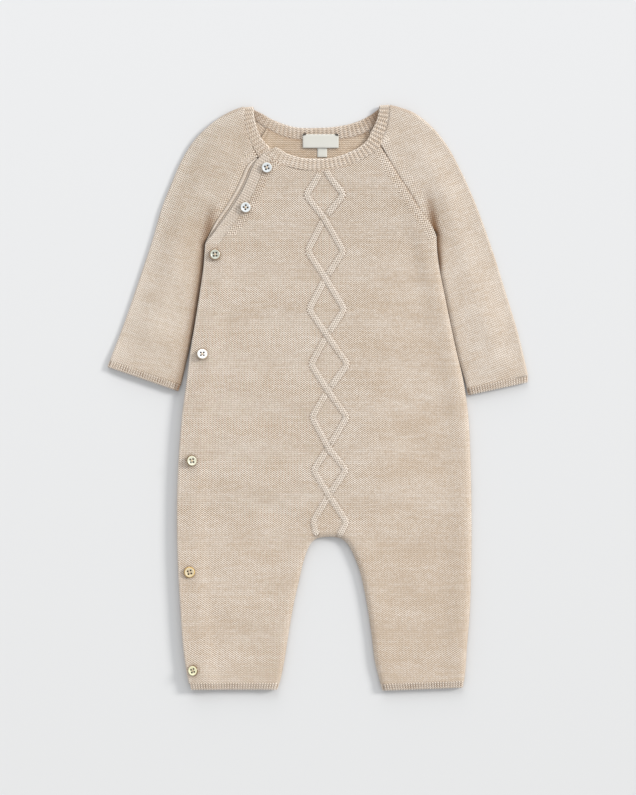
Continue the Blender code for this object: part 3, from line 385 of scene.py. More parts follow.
def cable(points):
    """Height that the cable adds, how far a point is inside a strand (above
    0.5 is strand), and the strand's own wale and course numbers there."""
    n = len(points)
    add, share = np.zeros(n), np.full(n, -2.0)
    wale, course = np.zeros(n), np.zeros(n)
    near = np.flatnonzero((points[:, 0] > -16) & (points[:, 0] < 33) & (points[:, 1] > -126) & (points[:, 1] < 203))
    q = points[near]
    found = []
    for k, line in enumerate(STRANDS):
        d, _, _, side, along = nearest(line, q)
        under = np.zeros(len(q))
        for i, (yc, xc) in enumerate(CABLE_CROSS):
            if (i + k) % 2:                       # here this strand dives
                r = np.hypot(q[:, 0] - xc, q[:, 1] - yc)
                under = np.maximum(under, bell(np.maximum(r - 2.4, 0), 2.6))
        fade = smooth(along / 4.5) if k == 0 else np.ones(len(q))
        h = np.sqrt(np.clip(1 - (d / STRAND) ** 3, 0, 1)) * (1 - under) * fade
        inside = np.minimum(STRAND + 0.45 - d, (0.62 - under) * 3)
        inside = np.minimum(inside, (fade - 0.3) * 4) + 0.5
        found.append((h, inside, side * d / STRAND, along / 1.9))
    top = np.where(found[0][0] >= found[1][0], 0, 1)
    top = np.where(np.maximum(found[0][0], found[1][0]) > 0, top, np.where(found[0][1] >= found[1][1], 0, 1))
    h, inside, w, c = (np.where(top == 0, found[0][j], found[1][j]) for j in range(4))
    add[near] = STRAND_H * h
    share[near], wale[near], course[near] = inside, w, c
    return add, share, wale, course


def place(x, y, z):
    return np.stack([(x + SHIFT[0]) * MM, (y + SHIFT[1]) * MM, z * MM], -1)


# ------------------------------------------------------------------ materials
class Nodes:
    """Small helper to write a material's node tree."""

    def __init__(self, name):
        self.mat = bpy.data.materials.new(name)
        self.mat.use_nodes = True
        self.tree = self.mat.node_tree
        self.bsdf = self.tree.nodes["Principled BSDF"]

    def link(self, value, socket):
        if isinstance(value, bpy.types.NodeSocket):
            self.tree.links.new(value, socket)
        else:
            socket.default_value = value

    def math(self, op, *args, clamp=False):
        n = self.tree.nodes.new("ShaderNodeMath")
        n.operation = op
        n.use_clamp = clamp
        for i, a in enumerate(args):
            self.link(a, n.inputs[i])
        return n.outputs[0]

    def mix(self, fac, a, b):
        n = self.tree.nodes.new("ShaderNodeMix")
        n.data_type = "RGBA"
        self.link(fac, n.inputs[0])
        for v, i in ((a, 6), (b, 7)):
            if isinstance(v, tuple):
                v = (*v, 1.0)
            self.link(v, n.inputs[i])
        return n.outputs[2]

    def scale(self, colour, factor):
        n = self.tree.nodes.new("ShaderNodeVectorMath")
        n.operation = "SCALE"
        self.link(colour, n.inputs[0])
        self.link(factor, n.inputs[3])
        return n.outputs[0]

    def lerp(self, fac, lo, hi):
        n = self.tree.nodes.new("ShaderNodeMapRange")
        n.inputs[1].default_value, n.inputs[2].default_value = 0.0, 1.0
        self.link(fac, n.inputs[0])
        self.link(lo, n.inputs[3])
        self.link(hi, n.inputs[4])
        return n.outputs[0]

    def noise(self, vector, scale, detail=2.0, rough=0.55):
        n = self.tree.nodes.new("ShaderNodeTexNoise")
        self.link(vector, n.inputs["Vector"])
        n.inputs["Scale"].default_value = scale
        n.inputs["Detail"].default_value = detail
        n.inputs["Roughness"].default_value = rough
        return n.outputs[0]

    def combine(self, x, y, z=0.0):
        n = self.tree.nodes.new("ShaderNodeCombineXYZ")
        for v, i in ((x, 0), (y, 1), (z, 2)):
            self.link(v, n.inputs[i])
        return n.outputs[0]

    def split(self, vector):
        n = self.tree.nodes.new("ShaderNodeSeparateXYZ")
        self.link(vector, n.inputs[0])
        return n.outputs

    def attribute(self, name):
        n = self.tree.nodes.new("ShaderNodeAttribute")
        n.attribute_name = name
        return n.outputs["Vector"]

    def coords(self):
        return self.tree.nodes.new("ShaderNodeTexCoord").outputs["Object"]

    def white(self, vector):
        n = self.tree.nodes.new("ShaderNodeTexWhiteNoise")
        n.noise_dimensions = "3D"
        self.link(vector, n.inputs["Vector"])
        return n.outputs["Value"]


FOLD_SHADE = (0.17, 0.082, 0.031)         # painted shade: the colour the wool is painted where shade falls deep in a fold, a seam or a gap


def wool(name, tint=(1.0, 1.0, 1.0), purl=False, slope=0.75, pale_by=0.0, gap_shade=(0.20, 0.135, 0.085)):
    """Heathered wool.  The attribute "knit" holds wale and course numbers and
    how much of a surface's stitches to show, "turn" a second set of numbers
    and how far a point lies in their zone, and the third attribute how much
    paler the yarn is painted, partly its own tone and partly painted light,
    and how much painted shade a point takes in a fold, a seam or a gap."""
    t = Nodes(name)
    knit, turn = t.split(t.attribute("knit")), t.split(t.attribute("turn"))
    tone_and_painted_light = t.split(t.attribute("tone_and_painted_light"))
    turned = t.math("GREATER_THAN", turn[2], 0.5)
    u, v, show = t.lerp(turned, knit[0], turn[0]), t.lerp(turned, knit[1], turn[1]), knit[2]
    where = t.coords()
    wander = t.noise(where, 160.0, 2.0)
    u = t.math("ADD", u, t.math("MULTIPLY", t.math("SUBTRACT", wander, 0.5), 0.30))
    v = t.math("ADD", v, t.math("MULTIPLY", t.math("SUBTRACT", t.noise(where, 210.0, 2.0), 0.5), 0.36))
    fu = t.math("FRACT", u)
    if purl:
        arc = t.math("MULTIPLY", t.math("COSINE", t.math("MULTIPLY", u, 2 * math.pi)), 0.26)
        row = t.math("ADD", v, arc)
        fv = t.math("SUBTRACT", t.math("FRACT", row), 0.5)
        loop = t.math("COSINE", t.math("MULTIPLY", fv, math.pi))
        stitch = t.math("POWER", t.math("MAXIMUM", loop, 0.0), 0.7)
    else:
        # two legs a stitch, leaning apart upwards
        a = t.math("ABSOLUTE", t.math("SUBTRACT", t.math("MULTIPLY", fu, 2.0), 1.0))
        row = t.math("SUBTRACT", v, t.math("MULTIPLY", a, slope))
        fv = t.math("SUBTRACT", t.math("FRACT", row), 0.5)
        leg = t.math("COSINE", t.math("MULTIPLY", fv, math.pi))
        leg = t.math("MAXIMUM", leg, 0.0)
        # legs touch half-way along and part at both ends, in small holes
        hole = t.math("MULTIPLY", t.math("COSINE", t.math("MULTIPLY", fu, 2 * math.pi)),
                      t.math("COSINE", t.math("MULTIPLY", v, 2 * math.pi)))
        hole = t.math("ADD", 0.5, t.math("MULTIPLY", hole, 0.5))
        stitch = t.math("ADD", t.math("MULTIPLY", leg, 0.55), t.math("MULTIPLY", hole, 0.45))
        stitch = t.math("SUBTRACT", stitch, t.math("MULTIPLY", t.math("POWER", a, 4.0), 0.16), clamp=True)
    # plies: fine twist along the yarn
    twist = t.math("SINE", t.math("MULTIPLY", t.math("ADD", fv, t.math("MULTIPLY", u, 3.1)), 4 * math.pi))
    fibre = t.noise(where, 1500.0, 3.0, 0.7)
    fuzz = t.noise(where, 520.0, 3.0, 0.65)
    height = t.math("MULTIPLY", stitch, show)
    height = t.math("ADD", height, t.math("MULTIPLY", fibre, 0.34))
    height = t.math("ADD", height, t.math("MULTIPLY", fuzz, 0.34))
    height = t.math("ADD", height, t.math("MULTIPLY", twist, 0.03))
    # heather: single stitches, streaks along the courses, cloudy patches
    cell = t.combine(t.math("FLOOR", t.math("MULTIPLY", u, 2.0)), t.math("FLOOR", row))
    single = t.white(cell)
    streak = t.noise(t.combine(t.math("MULTIPLY", u, 0.13), t.math("MULTIPLY", v, 0.62)), 1.0, 3.0, 0.62)
    broad = t.noise(t.combine(t.math("MULTIPLY", u, 0.045), t.math("MULTIPLY", v, 0.10)), 1.0, 2.0, 0.5)
    shade = t.math("ADD", t.lerp(single, -0.17, 0.17), t.lerp(streak, -0.44, 0.44))
    shade = t.math("ADD", shade, t.lerp(broad, -0.36, 0.36))
    shade = t.math("ADD", shade, t.lerp(fibre, -0.25, 0.25))
    # the third attribute's first channel and pale_by paint the yarn paler or darker: partly its own tone, partly
    # painted light and shade
    shade = t.math("ADD", shade, t.math("ADD", t.math("MULTIPLY", tone_and_painted_light[0], 0.16), pale_by))
    pale, dark = (0.930, 0.845, 0.750), (0.720, 0.595, 0.470)
    pale = tuple(min(c * k, 0.95) for c, k in zip(pale, tint))
    dark = tuple(c * k for c, k in zip(dark, tint))
    body = t.mix(t.math("ADD", 0.5, t.math("MULTIPLY", shade, 1.5), clamp=True), dark, pale)
    # painted shade: the gaps between the stitches are painted towards the darkest colour
    gap_shade = tuple(c * k for c, k in zip(gap_shade, tint))
    even = 0.71 if purl else 0.54
    seen = t.math("ADD", even, t.math("MULTIPLY", t.math("SUBTRACT", stitch, even), show), clamp=True)
    colour = t.mix(seen, gap_shade, body)
    # painted shade: folds, seams, grooves and gaps are painted towards the fold colour, by the third attribute's second
    # channel
    colour = t.mix(tone_and_painted_light[1], colour, FOLD_SHADE)
    t.link(colour, t.bsdf.inputs["Base Color"])
    t.link(t.lerp(stitch, 0.98, 0.84), t.bsdf.inputs["Roughness"])
    bump = t.tree.nodes.new("ShaderNodeBump")
    bump.inputs["Strength"].default_value = 0.9
    bump.inputs["Distance"].default_value = 0.0006
    t.link(height, bump.inputs["Height"])
    t.link(bump.outputs[0], t.bsdf.inputs["Normal"])
    t.bsdf.inputs["Specular IOR Level"].default_value = 0.12
    t.bsdf.inputs["Sheen Weight"].default_value = 0.25
    t.bsdf.inputs["Sheen Roughness"].default_value = 0.55
    t.bsdf.inputs["Sheen Tint"].default_value = (1.0, 0.95, 0.88, 1.0)
    return t.mat


KNIT_MAT = wool("wool_knit")
# the sleeves' copies are painted a little paler: painted light
SLEEVE_MAT = wool("wool_sleeve", pale_by=0.07, tint=(1.02, 1.02, 1.02))
SHUT_MAT = wool("wool_sleeve_closed", pale_by=0.07, tint=(1.012, 1.012, 1.012))
# the back's inside, purl side out: a darker copy, painted shade within the neck opening
SHADED_INSIDE_MAT = wool("wool_inside_painted_shade", tint=(0.775, 0.715, 0.645), purl=True, gap_shade=(0.50, 0.38, 0.27))
RIB_MAT = wool("wool_rib", pale_by=0.03)


def shell(name, pale, shade, rim, inward=0.0):
    """Polished shell: cloudy bands, faint layers, glossy."""
    t = Nodes(name)
    where = t.coords()
    cloud = t.noise(where, 210.0, 3.0, 0.6)
    p = t.split(where)
    layers = t.noise(t.combine(t.math("MULTIPLY", p[0], 260.0), t.math("MULTIPLY", p[1], 900.0), p[2]), 1.0, 2.0)
    fac = t.math("ADD", t.math("MULTIPLY", cloud, 0.75), t.math("MULTIPLY", layers, 0.45))
    colour = t.mix(t.math("MULTIPLY", t.math("SUBTRACT", fac, 0.25), 1.5, clamp=True), shade, pale)
    marks = t.split(t.attribute("knit"))
    # painted shade: a contact shadow painted dark brown round the rim, and the holes painted near black
    colour = t.mix(t.math("MULTIPLY", t.math("SUBTRACT", marks[0], 0.5 - inward), 2.5, clamp=True), colour, rim)
    colour = t.mix(marks[1], colour, (0.048, 0.022, 0.006))
    t.link(colour, t.bsdf.inputs["Base Color"])
    t.link(t.lerp(cloud, 0.16, 0.34), t.bsdf.inputs["Roughness"])
    bump = t.tree.nodes.new("ShaderNodeBump")
    bump.inputs["Strength"].default_value = 0.25
    bump.inputs["Distance"].default_value = 0.00005
    t.link(layers, bump.inputs["Height"])
    t.link(bump.outputs[0], t.bsdf.inputs["Normal"])
    t.bsdf.inputs["Coat Weight"].default_value = 0.5
    t.bsdf.inputs["Coat Roughness"].default_value = 0.08
    return t.mat


def cotton(name, colour, dark, scale=2600.0):
    """Woven tape or twisted thread."""
    t = Nodes(name)
    where = t.coords()
    p = t.split(where)
    warp = t.math("SINE", t.math("MULTIPLY", p[0], scale * 2 * math.pi / 3.0))
    weft = t.math("SINE", t.math("MULTIPLY", p[1], scale * 2 * math.pi / 3.0))
    weave = t.math("ADD", 0.5, t.math("MULTIPLY", t.math("MULTIPLY", warp, weft), 0.5))
    grain = t.noise(where, 1700.0, 3.0, 0.7)
    fac = t.math("ADD", t.math("MULTIPLY", weave, 0.45), t.math("MULTIPLY", grain, 0.6), clamp=True)
    t.link(t.mix(fac, dark, colour), t.bsdf.inputs["Base Color"])
    t.link(t.lerp(grain, 0.62, 0.85), t.bsdf.inputs["Roughness"])
    bump = t.tree.nodes.new("ShaderNodeBump")
    bump.inputs["Strength"].default_value = 0.4
    bump.inputs["Distance"].default_value = 0.00008
    t.link(fac, bump.inputs["Height"])
    t.link(bump.outputs[0], t.bsdf.inputs["Normal"])
    t.bsdf.inputs["Sheen Weight"].default_value = 0.1
    return t.mat


TAPE_MAT = cotton("label_tape", (0.60, 0.595, 0.545), (0.505, 0.495, 0.45))
# dark thread for the label's tacks, also used as painted shade in the buttons' holes
TACK_AND_HOLE_SHADE_MAT = cotton("tack_thread_and_hole_shade", (0.050, 0.032, 0.018), (0.016, 0.010, 0.006), 5200.0)
THREAD_MAT = cotton("button_thread", (0.80, 0.66, 0.48), (0.55, 0.40, 0.26), 5200.0)


# ------------------------------------------------------------ building meshes
def new_piece(name, points, faces, knit, mat, replaces=(), sharp=None):
    mesh = bpy.data.meshes.new(name)
    mesh.from_pydata([tuple(p) for p in points.tolist()], [], faces)
    bm = bmesh.new()
    bm.from_mesh(mesh)
    bmesh.ops.recalc_face_normals(bm, faces=bm.faces[:])
    if bm.calc_volume(signed=True) < 0:
        bmesh.ops.reverse_faces(bm, faces=bm.faces[:])
    bm.to_mesh(mesh)
    bm.free()
    for k, label in enumerate(("knit", "turn", "tone_and_painted_light")[:knit.shape[1] // 3]):
        attr = mesh.attributes.new(label, "FLOAT_VECTOR", "POINT")
        attr.data.foreach_set("vector", np.ascontiguousarray(knit[:, 3 * k:3 * k + 3], np.float32).ravel())
    mesh.shade_smooth()
    if sharp:
        mesh.set_sharp_from_angle(angle=math.radians(sharp))
    mesh.materials.append(mat)
    obj = bpy.data.objects.new(name, mesh)
    bpy.context.scene.collection.objects.link(obj)
    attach(obj, "root")
    if replaces:
        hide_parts(*replaces)
    return obj


def wall(name, up, low, knit, mat, step=(4, 4), keep=((), ()), replaces=()):
    """A closed wall of cloth: a fine outer side (rows, columns, 3) in metres,
    and an inner side that uses only some of its rows and columns.  Points that
    are NaN hold no cloth."""
    rows, cols = up.shape[:2]
    have = np.isfinite(up[..., 0])
    cell = have[:-1, :-1] & have[1:, :-1] & have[:-1, 1:] & have[1:, 1:]
    sr = sorted(set(range(0, rows, step[0])) | {rows - 1} | set(keep[0]))
    sc = sorted(set(range(0, cols, step[1])) | {cols - 1} | set(keep[1]))
    index = np.full((rows, cols), -1)
    index[have] = np.arange(have.sum())
    r, c = np.nonzero(cell)
    faces = np.stack([index[r, c], index[r, c + 1], index[r + 1, c + 1], index[r + 1, c]], 1).tolist()
    total = np.zeros((rows, cols), int)
    total[1:, 1:] = np.cumsum(np.cumsum(cell, 0), 1)
    coarse = []
    for r0, r1 in zip(sr, sr[1:]):
        for c0, c1 in zip(sc, sc[1:]):
            full = total[r1, c1] - total[r0, c1] - total[r1, c0] + total[r0, c0]
            if full == (r1 - r0) * (c1 - c0):
                coarse.append(((r0, c0), (r0, c1), (r1, c1), (r1, c0)))
    assert sum((b[2][0] - b[0][0]) * (b[2][1] - b[0][1]) for b in coarse) == int(cell.sum()), name
    used = sorted({k for quad in coarse for k in quad})
    base = int(have.sum())
    low_index = {k: base + i for i, k in enumerate(used)}
    rim = {}
    for quad in coarse:
        faces.append([low_index[k] for k in reversed(quad)])
        for a, b in zip(quad, quad[1:] + quad[:1]):
            if (b, a) in rim:
                del rim[(b, a)]
            else:
                rim[(a, b)] = True
    for a, b in rim:
        n = max(abs(b[0] - a[0]), abs(b[1] - a[1]))
        path = [(a[0] + (b[0] - a[0]) * i // n, a[1] + (b[1] - a[1]) * i // n) for i in range(n + 1)]
        faces.append([int(index[k]) for k in reversed(path)] + [low_index[a], low_index[b]])
    points = np.vstack([up[have], np.array([low[k] for k in used])])
    attr = np.vstack([knit[have], np.array([knit[k] for k in used])])
    return new_piece(name, points, faces, attr, mat, replaces)


def tube(name, rings, knit, mat, closed=False, replaces=()):
    """A closed solid through rings of points (n, k, 3), capped unless closed."""
    n, k = rings.shape[:2]
    faces = []
    last = n if closed else n - 1
    for i in range(last):
        j = (i + 1) % n
        for a in range(k):
            b = (a + 1) % k
            faces.append([i * k + a, i * k + b, j * k + b, j * k + a])
    if not closed:
        faces.append(list(range(k)))
        faces.append([(n - 1) * k + a for a in reversed(range(k))])
    return new_piece(name, rings.reshape(-1, 3), faces, knit.reshape(n * k, -1), mat, replaces)


# ------------------------------------------------------------- panels' points
def offsets(stops, *more):
    return np.array(list(stops) + list(more), float)


def panel_grid(left_off, inner, n_leg, n_arch, leg_rows, rise, torso_rows, upper_rows,
               left_top, right_top, neck_top, skip_left, dense=None):
    """Points of a body panel, (rows, columns, 2): two legs, the body above the
    crotch, and the yoke between the raglans.  NaN where there is no cloth."""
    n_left, n_edge = len(left_off), len(inner)
    m = n_left + n_leg + n_edge - 1
    g = m + n_arch
    last = g + n_edge - 1 + n_leg + n_edge
    rows = leg_rows + len(rise) + torso_rows + upper_rows
    grid = np.full((rows, last + 1, 2), np.nan)

    def leg_x(lo, hi, lo_off, hi_off):
        a, b = lo + lo_off[-1], hi - hi_off[-1]
        mid = a + (b - a) * np.arange(1, n_leg + 1) / (n_leg + 1)
        return np.concatenate([lo + lo_off, mid, (hi - hi_off)[::-1]])

    tl, tr = INSEAM_CURVE.t[CROTCH_L], INSEAM_CURVE.t[CROTCH_R]
    cl, cr = INSEAM[CROTCH_L], INSEAM[CROTCH_R]
    left_in = INSEAM_CURVE.at(np.linspace(0.0, tl, 160))
    right_in = INSEAM_CURVE.at(np.linspace(1.0, tr, 160))
    for r in range(leg_rows):
        f = r / leg_rows
        yl = -248.6 + (cl[1] + 248.6) * f
        xi = np.interp(yl, left_in[:, 1], left_in[:, 0])
        grid[r, :m + 1, 0] = leg_x(body_x(yl)[0][0], xi, left_off, inner)
        grid[r, :m + 1, 1] = yl
        hem_in, hem_out = -249.6, -247.0
        yr = hem_in + (cr[1] - hem_in) * f
        xi = np.interp(yr, right_in[:, 1], right_in[:, 0])
        hi = body_x(yr)[1][0]
        x = leg_x(xi, hi, inner, inner)
        grid[r, g:, 0] = x
        grid[r, g:, 1] = yr + (hem_out - hem_in) * (x - xi) / (hi - xi) * (1 - f)
    arch = INSEAM_CURVE.at(np.linspace(tl, tr, n_arch + 1))
    base = np.vstack([
        np.stack([leg_x(body_x(cl[1])[0][0], cl[0], left_off, inner), np.full(m + 1, cl[1])], 1),
        arch[1:-1],
        np.stack([leg_x(cr[0], body_x(cr[1])[1][0], inner, inner), np.full(last + 1 - g, cr[1])], 1)])
    r = leg_rows
    for off in rise:
        grid[r] = base + (0.0, off)
        r += 1
    start = base + (0.0, rise[-1])
    shut_y, open_y = RAGLAN[0][1] - 0.1, OPENING[0][1] - 1.8
    s0 = (start[:, 0] - start[0, 0]) / (start[-1, 0] - start[0, 0])
    n_mid = last + 1 - n_left - n_edge
    for k in range(1, torso_rows + 1):
        f = k / torso_rows
        relax = smooth(f * 2.2)
        y = start[:, 1] + (open_y + (shut_y - open_y) * s0 - start[:, 1]) * f
        lo, hi = body_x(y)
        x = lo + (hi - lo) * s0
        a, b = lo + left_off[-1], hi - inner[-1]
        if dense is None:
            share = np.arange(1, n_mid + 1) / (n_mid + 1)
            even = a[n_left:n_left + n_mid] + (b - a)[n_left:n_left + n_mid] * share
        else:
            xs = np.linspace(a.mean(), b.mean(), 400)
            rho = 1 + (dense[2] - 1) * smooth((xs - dense[0] + 6) / 6) * smooth((dense[1] + 6 - xs) / 6)
            cum = np.concatenate([[0.0], np.cumsum((rho[1:] + rho[:-1]) / 2)])
            even = np.interp(cum[-1] * np.arange(1, n_mid + 1) / (n_mid + 1), cum, xs)
        mid = slice(n_left, n_left + n_mid)
        x[mid] = x[mid] + (even - x[mid]) * relax
        x[:n_left] = lo[:n_left] + left_off
        x[last + 1 - n_edge:] = hi[last + 1 - n_edge:] - inner[::-1]
        grid[r, :, 0], grid[r, :, 1] = x, y
        r += 1
    c0 = n_left - 1 if skip_left else 0
    bottom = grid[r - 1, c0:]
    s_bottom = (bottom[:, 0] - bottom[0, 0]) / (bottom[-1, 0] - bottom[0, 0])
    low_curve = Curve(bottom, t=s_bottom)
    if dense is None:
        s_top = np.linspace(0, 1, len(bottom))
    else:
        ends = neck_top.at([0, 1])
        xs = np.linspace(ends[0, 0], ends[1, 0], 400)
        rho = 1 + (dense[2] - 1) * smooth((xs - dense[0] + 6) / 6) * smooth((dense[1] + 6 - xs) / 6)
        cum = np.concatenate([[0.0], np.cumsum((rho[1:] + rho[:-1]) / 2)])
        want = np.interp(cum[-1] * np.linspace(0, 1, len(bottom)), cum, xs)
        tt = np.linspace(0, 1, 400)
        s_top = np.interp(want, neck_top.at(tt)[:, 0], tt)
    lt, rt = left_top.at([0, 1]), right_top.at([0, 1])
    for k in range(1, upper_rows + 1):
        f = k / upper_rows
        left, right = left_top.at(f)[0], right_top.at(f)[0]
        mixed = s_bottom + (s_top - s_bottom) * smooth(f)
        b, tp = low_curve.at(mixed), neck_top.at(mixed)
        s = mixed[:, None]
        grid[r, c0:] = ((1 - f) * b + f * tp + (1 - s) * left + s * right
                        - (1 - f) * ((1 - s) * bottom[0] + s * bottom[-1])
                        - f * ((1 - s) * lt[1] + s * rt[1]))
        r += 1
    return grid, (c0, m, g, leg_rows)


def front_height(pts):
    """Upper and lower side of the front layer and the inward shift below."""
    d_open = nearest(OVERLAP_LINE, pts)[0]
    d_shut, n_shut = nearest(SHUT_SIDE, pts)[:2]
    d_in, n_in = nearest(INSEAM_LINE, pts)[:2]
    lift = LOFT + OVER_STAND * smooth(1 - (d_open - STAND_REACH - 1.0) / 14.0)
    calm = smooth((pts[:, 1] + 249.0) / 22.0)
    lift = lift + (0.9 * bell(d_shut - 8.0, 9.0) + 0.4 * bell(d_in - 9.0, 9.0)) * calm
    first = d_shut < d_in
    d = np.where(first, d_shut, d_in)
    n = np.where(first[:, None], n_shut, n_in)
    gap = KNIT * np.maximum(0.0, 1 - d / EDGE_R)
    free = smooth(d_open / 14.0)
    rest = smooth((d - 2.0) / 9.0)
    rough = (relief(pts[:, 0], pts[:, 1]) + creases(pts, CREASES)) * rest * (0.35 + 0.65 * free) * (0.4 + 0.6 * calm)
    upper = LAYER2 + (lift + KNIT) * round_off(d / EDGE_R) + rough
    lower = LAYER2 + lift * round_off((gap + d - KNIT) / (EDGE_R - KNIT)) + rough * 0.5
    edge = 1 - round_off(d_open / 1.5)
    roll = smooth((pts[:, 1] - 138.0) / 12.0)
    upper -= 0.45 * KNIT * edge * (1 - roll)
    lower += 0.30 * KNIT * edge * (1 - roll)
    upper -= 0.48 * KNIT * (1 - round_off(d_open / 1.5)) * roll
    return upper, lower, n * gap[:, None], d_open


def neck_line(rows, first, last, away):
    c = Curve([r[2:4] for r in rows])
    p = c.line(240)
    d = np.gradient(p, axis=0)
    n = np.stack([-d[:, 1], d[:, 0]], 1) / np.hypot(d[:, 0], d[:, 1])[:, None]
    side = 1 if n[120] @ np.array([0.0, -1.0]) > 0 else -1
    q = p + n * side * away
    i = int(np.hypot(q[:, 0] - first[0], q[:, 1] - first[1]).argmin())
    j = int(np.hypot(q[:, 0] - last[0], q[:, 1] - last[1]).argmin())
    step = 1 if j > i else -1
    return [tuple(q[k]) for k in range(i, j + step, step)]


def raglan_marks(d, along):
    """The fashioned stretch beside a raglan: wales that run with the seam,
    then a row of small marks where stitches were taken in."""
    bank = 0.16 * bell(d - 3.8, 2.8)
    mark = 0.16 * bell(d - 8.4, 0.9) * (0.4 + 0.6 * np.cos(2 * math.pi * along / (2 * COURSE)))
    return bank + mark


def stitch_width(y):
    rows = Curve([(a, b) for a, b in STITCH_WIDTH], t=[(a + 255.0) / 485.0 for a, _ in STITCH_WIDTH])
    return rows.at((y + 255.0) / 485.0)[:, 1]


def stitched(points, zone, u2, v2, pale=0.0, painted_shade=0.0):
    """The body's stitches, and beside them a second set where a zone's share
    is above 0.5."""
    n = len(points)
    out = np.empty((n, 9))
    out[:, 0] = (points[:, 0] - 8.0) / stitch_width(points[:, 1]) + 200.0
    out[:, 1] = points[:, 1] / COURSE + 300.0
    x, y = points[:, 0], points[:, 1]
    out[:, 2] = np.maximum(1 - 0.36 * smooth((x - 30.0) / 45.0) * smooth((150.0 - y) / 60.0)
                           - 0.24 * smooth((-90.0 - y) / 50.0), 0.64) + 0.18 * smooth((y - 110.0) / 50.0)
    out[:, 3], out[:, 4], out[:, 5] = u2, v2, np.clip(zone, -2.0, 3.0)
    # the paleness, partly painted light, and the amount of painted shade
    out[:, 6], out[:, 7], out[:, 8] = pale, np.clip(painted_shade, 0.0, 1.0), 0.0
    return out


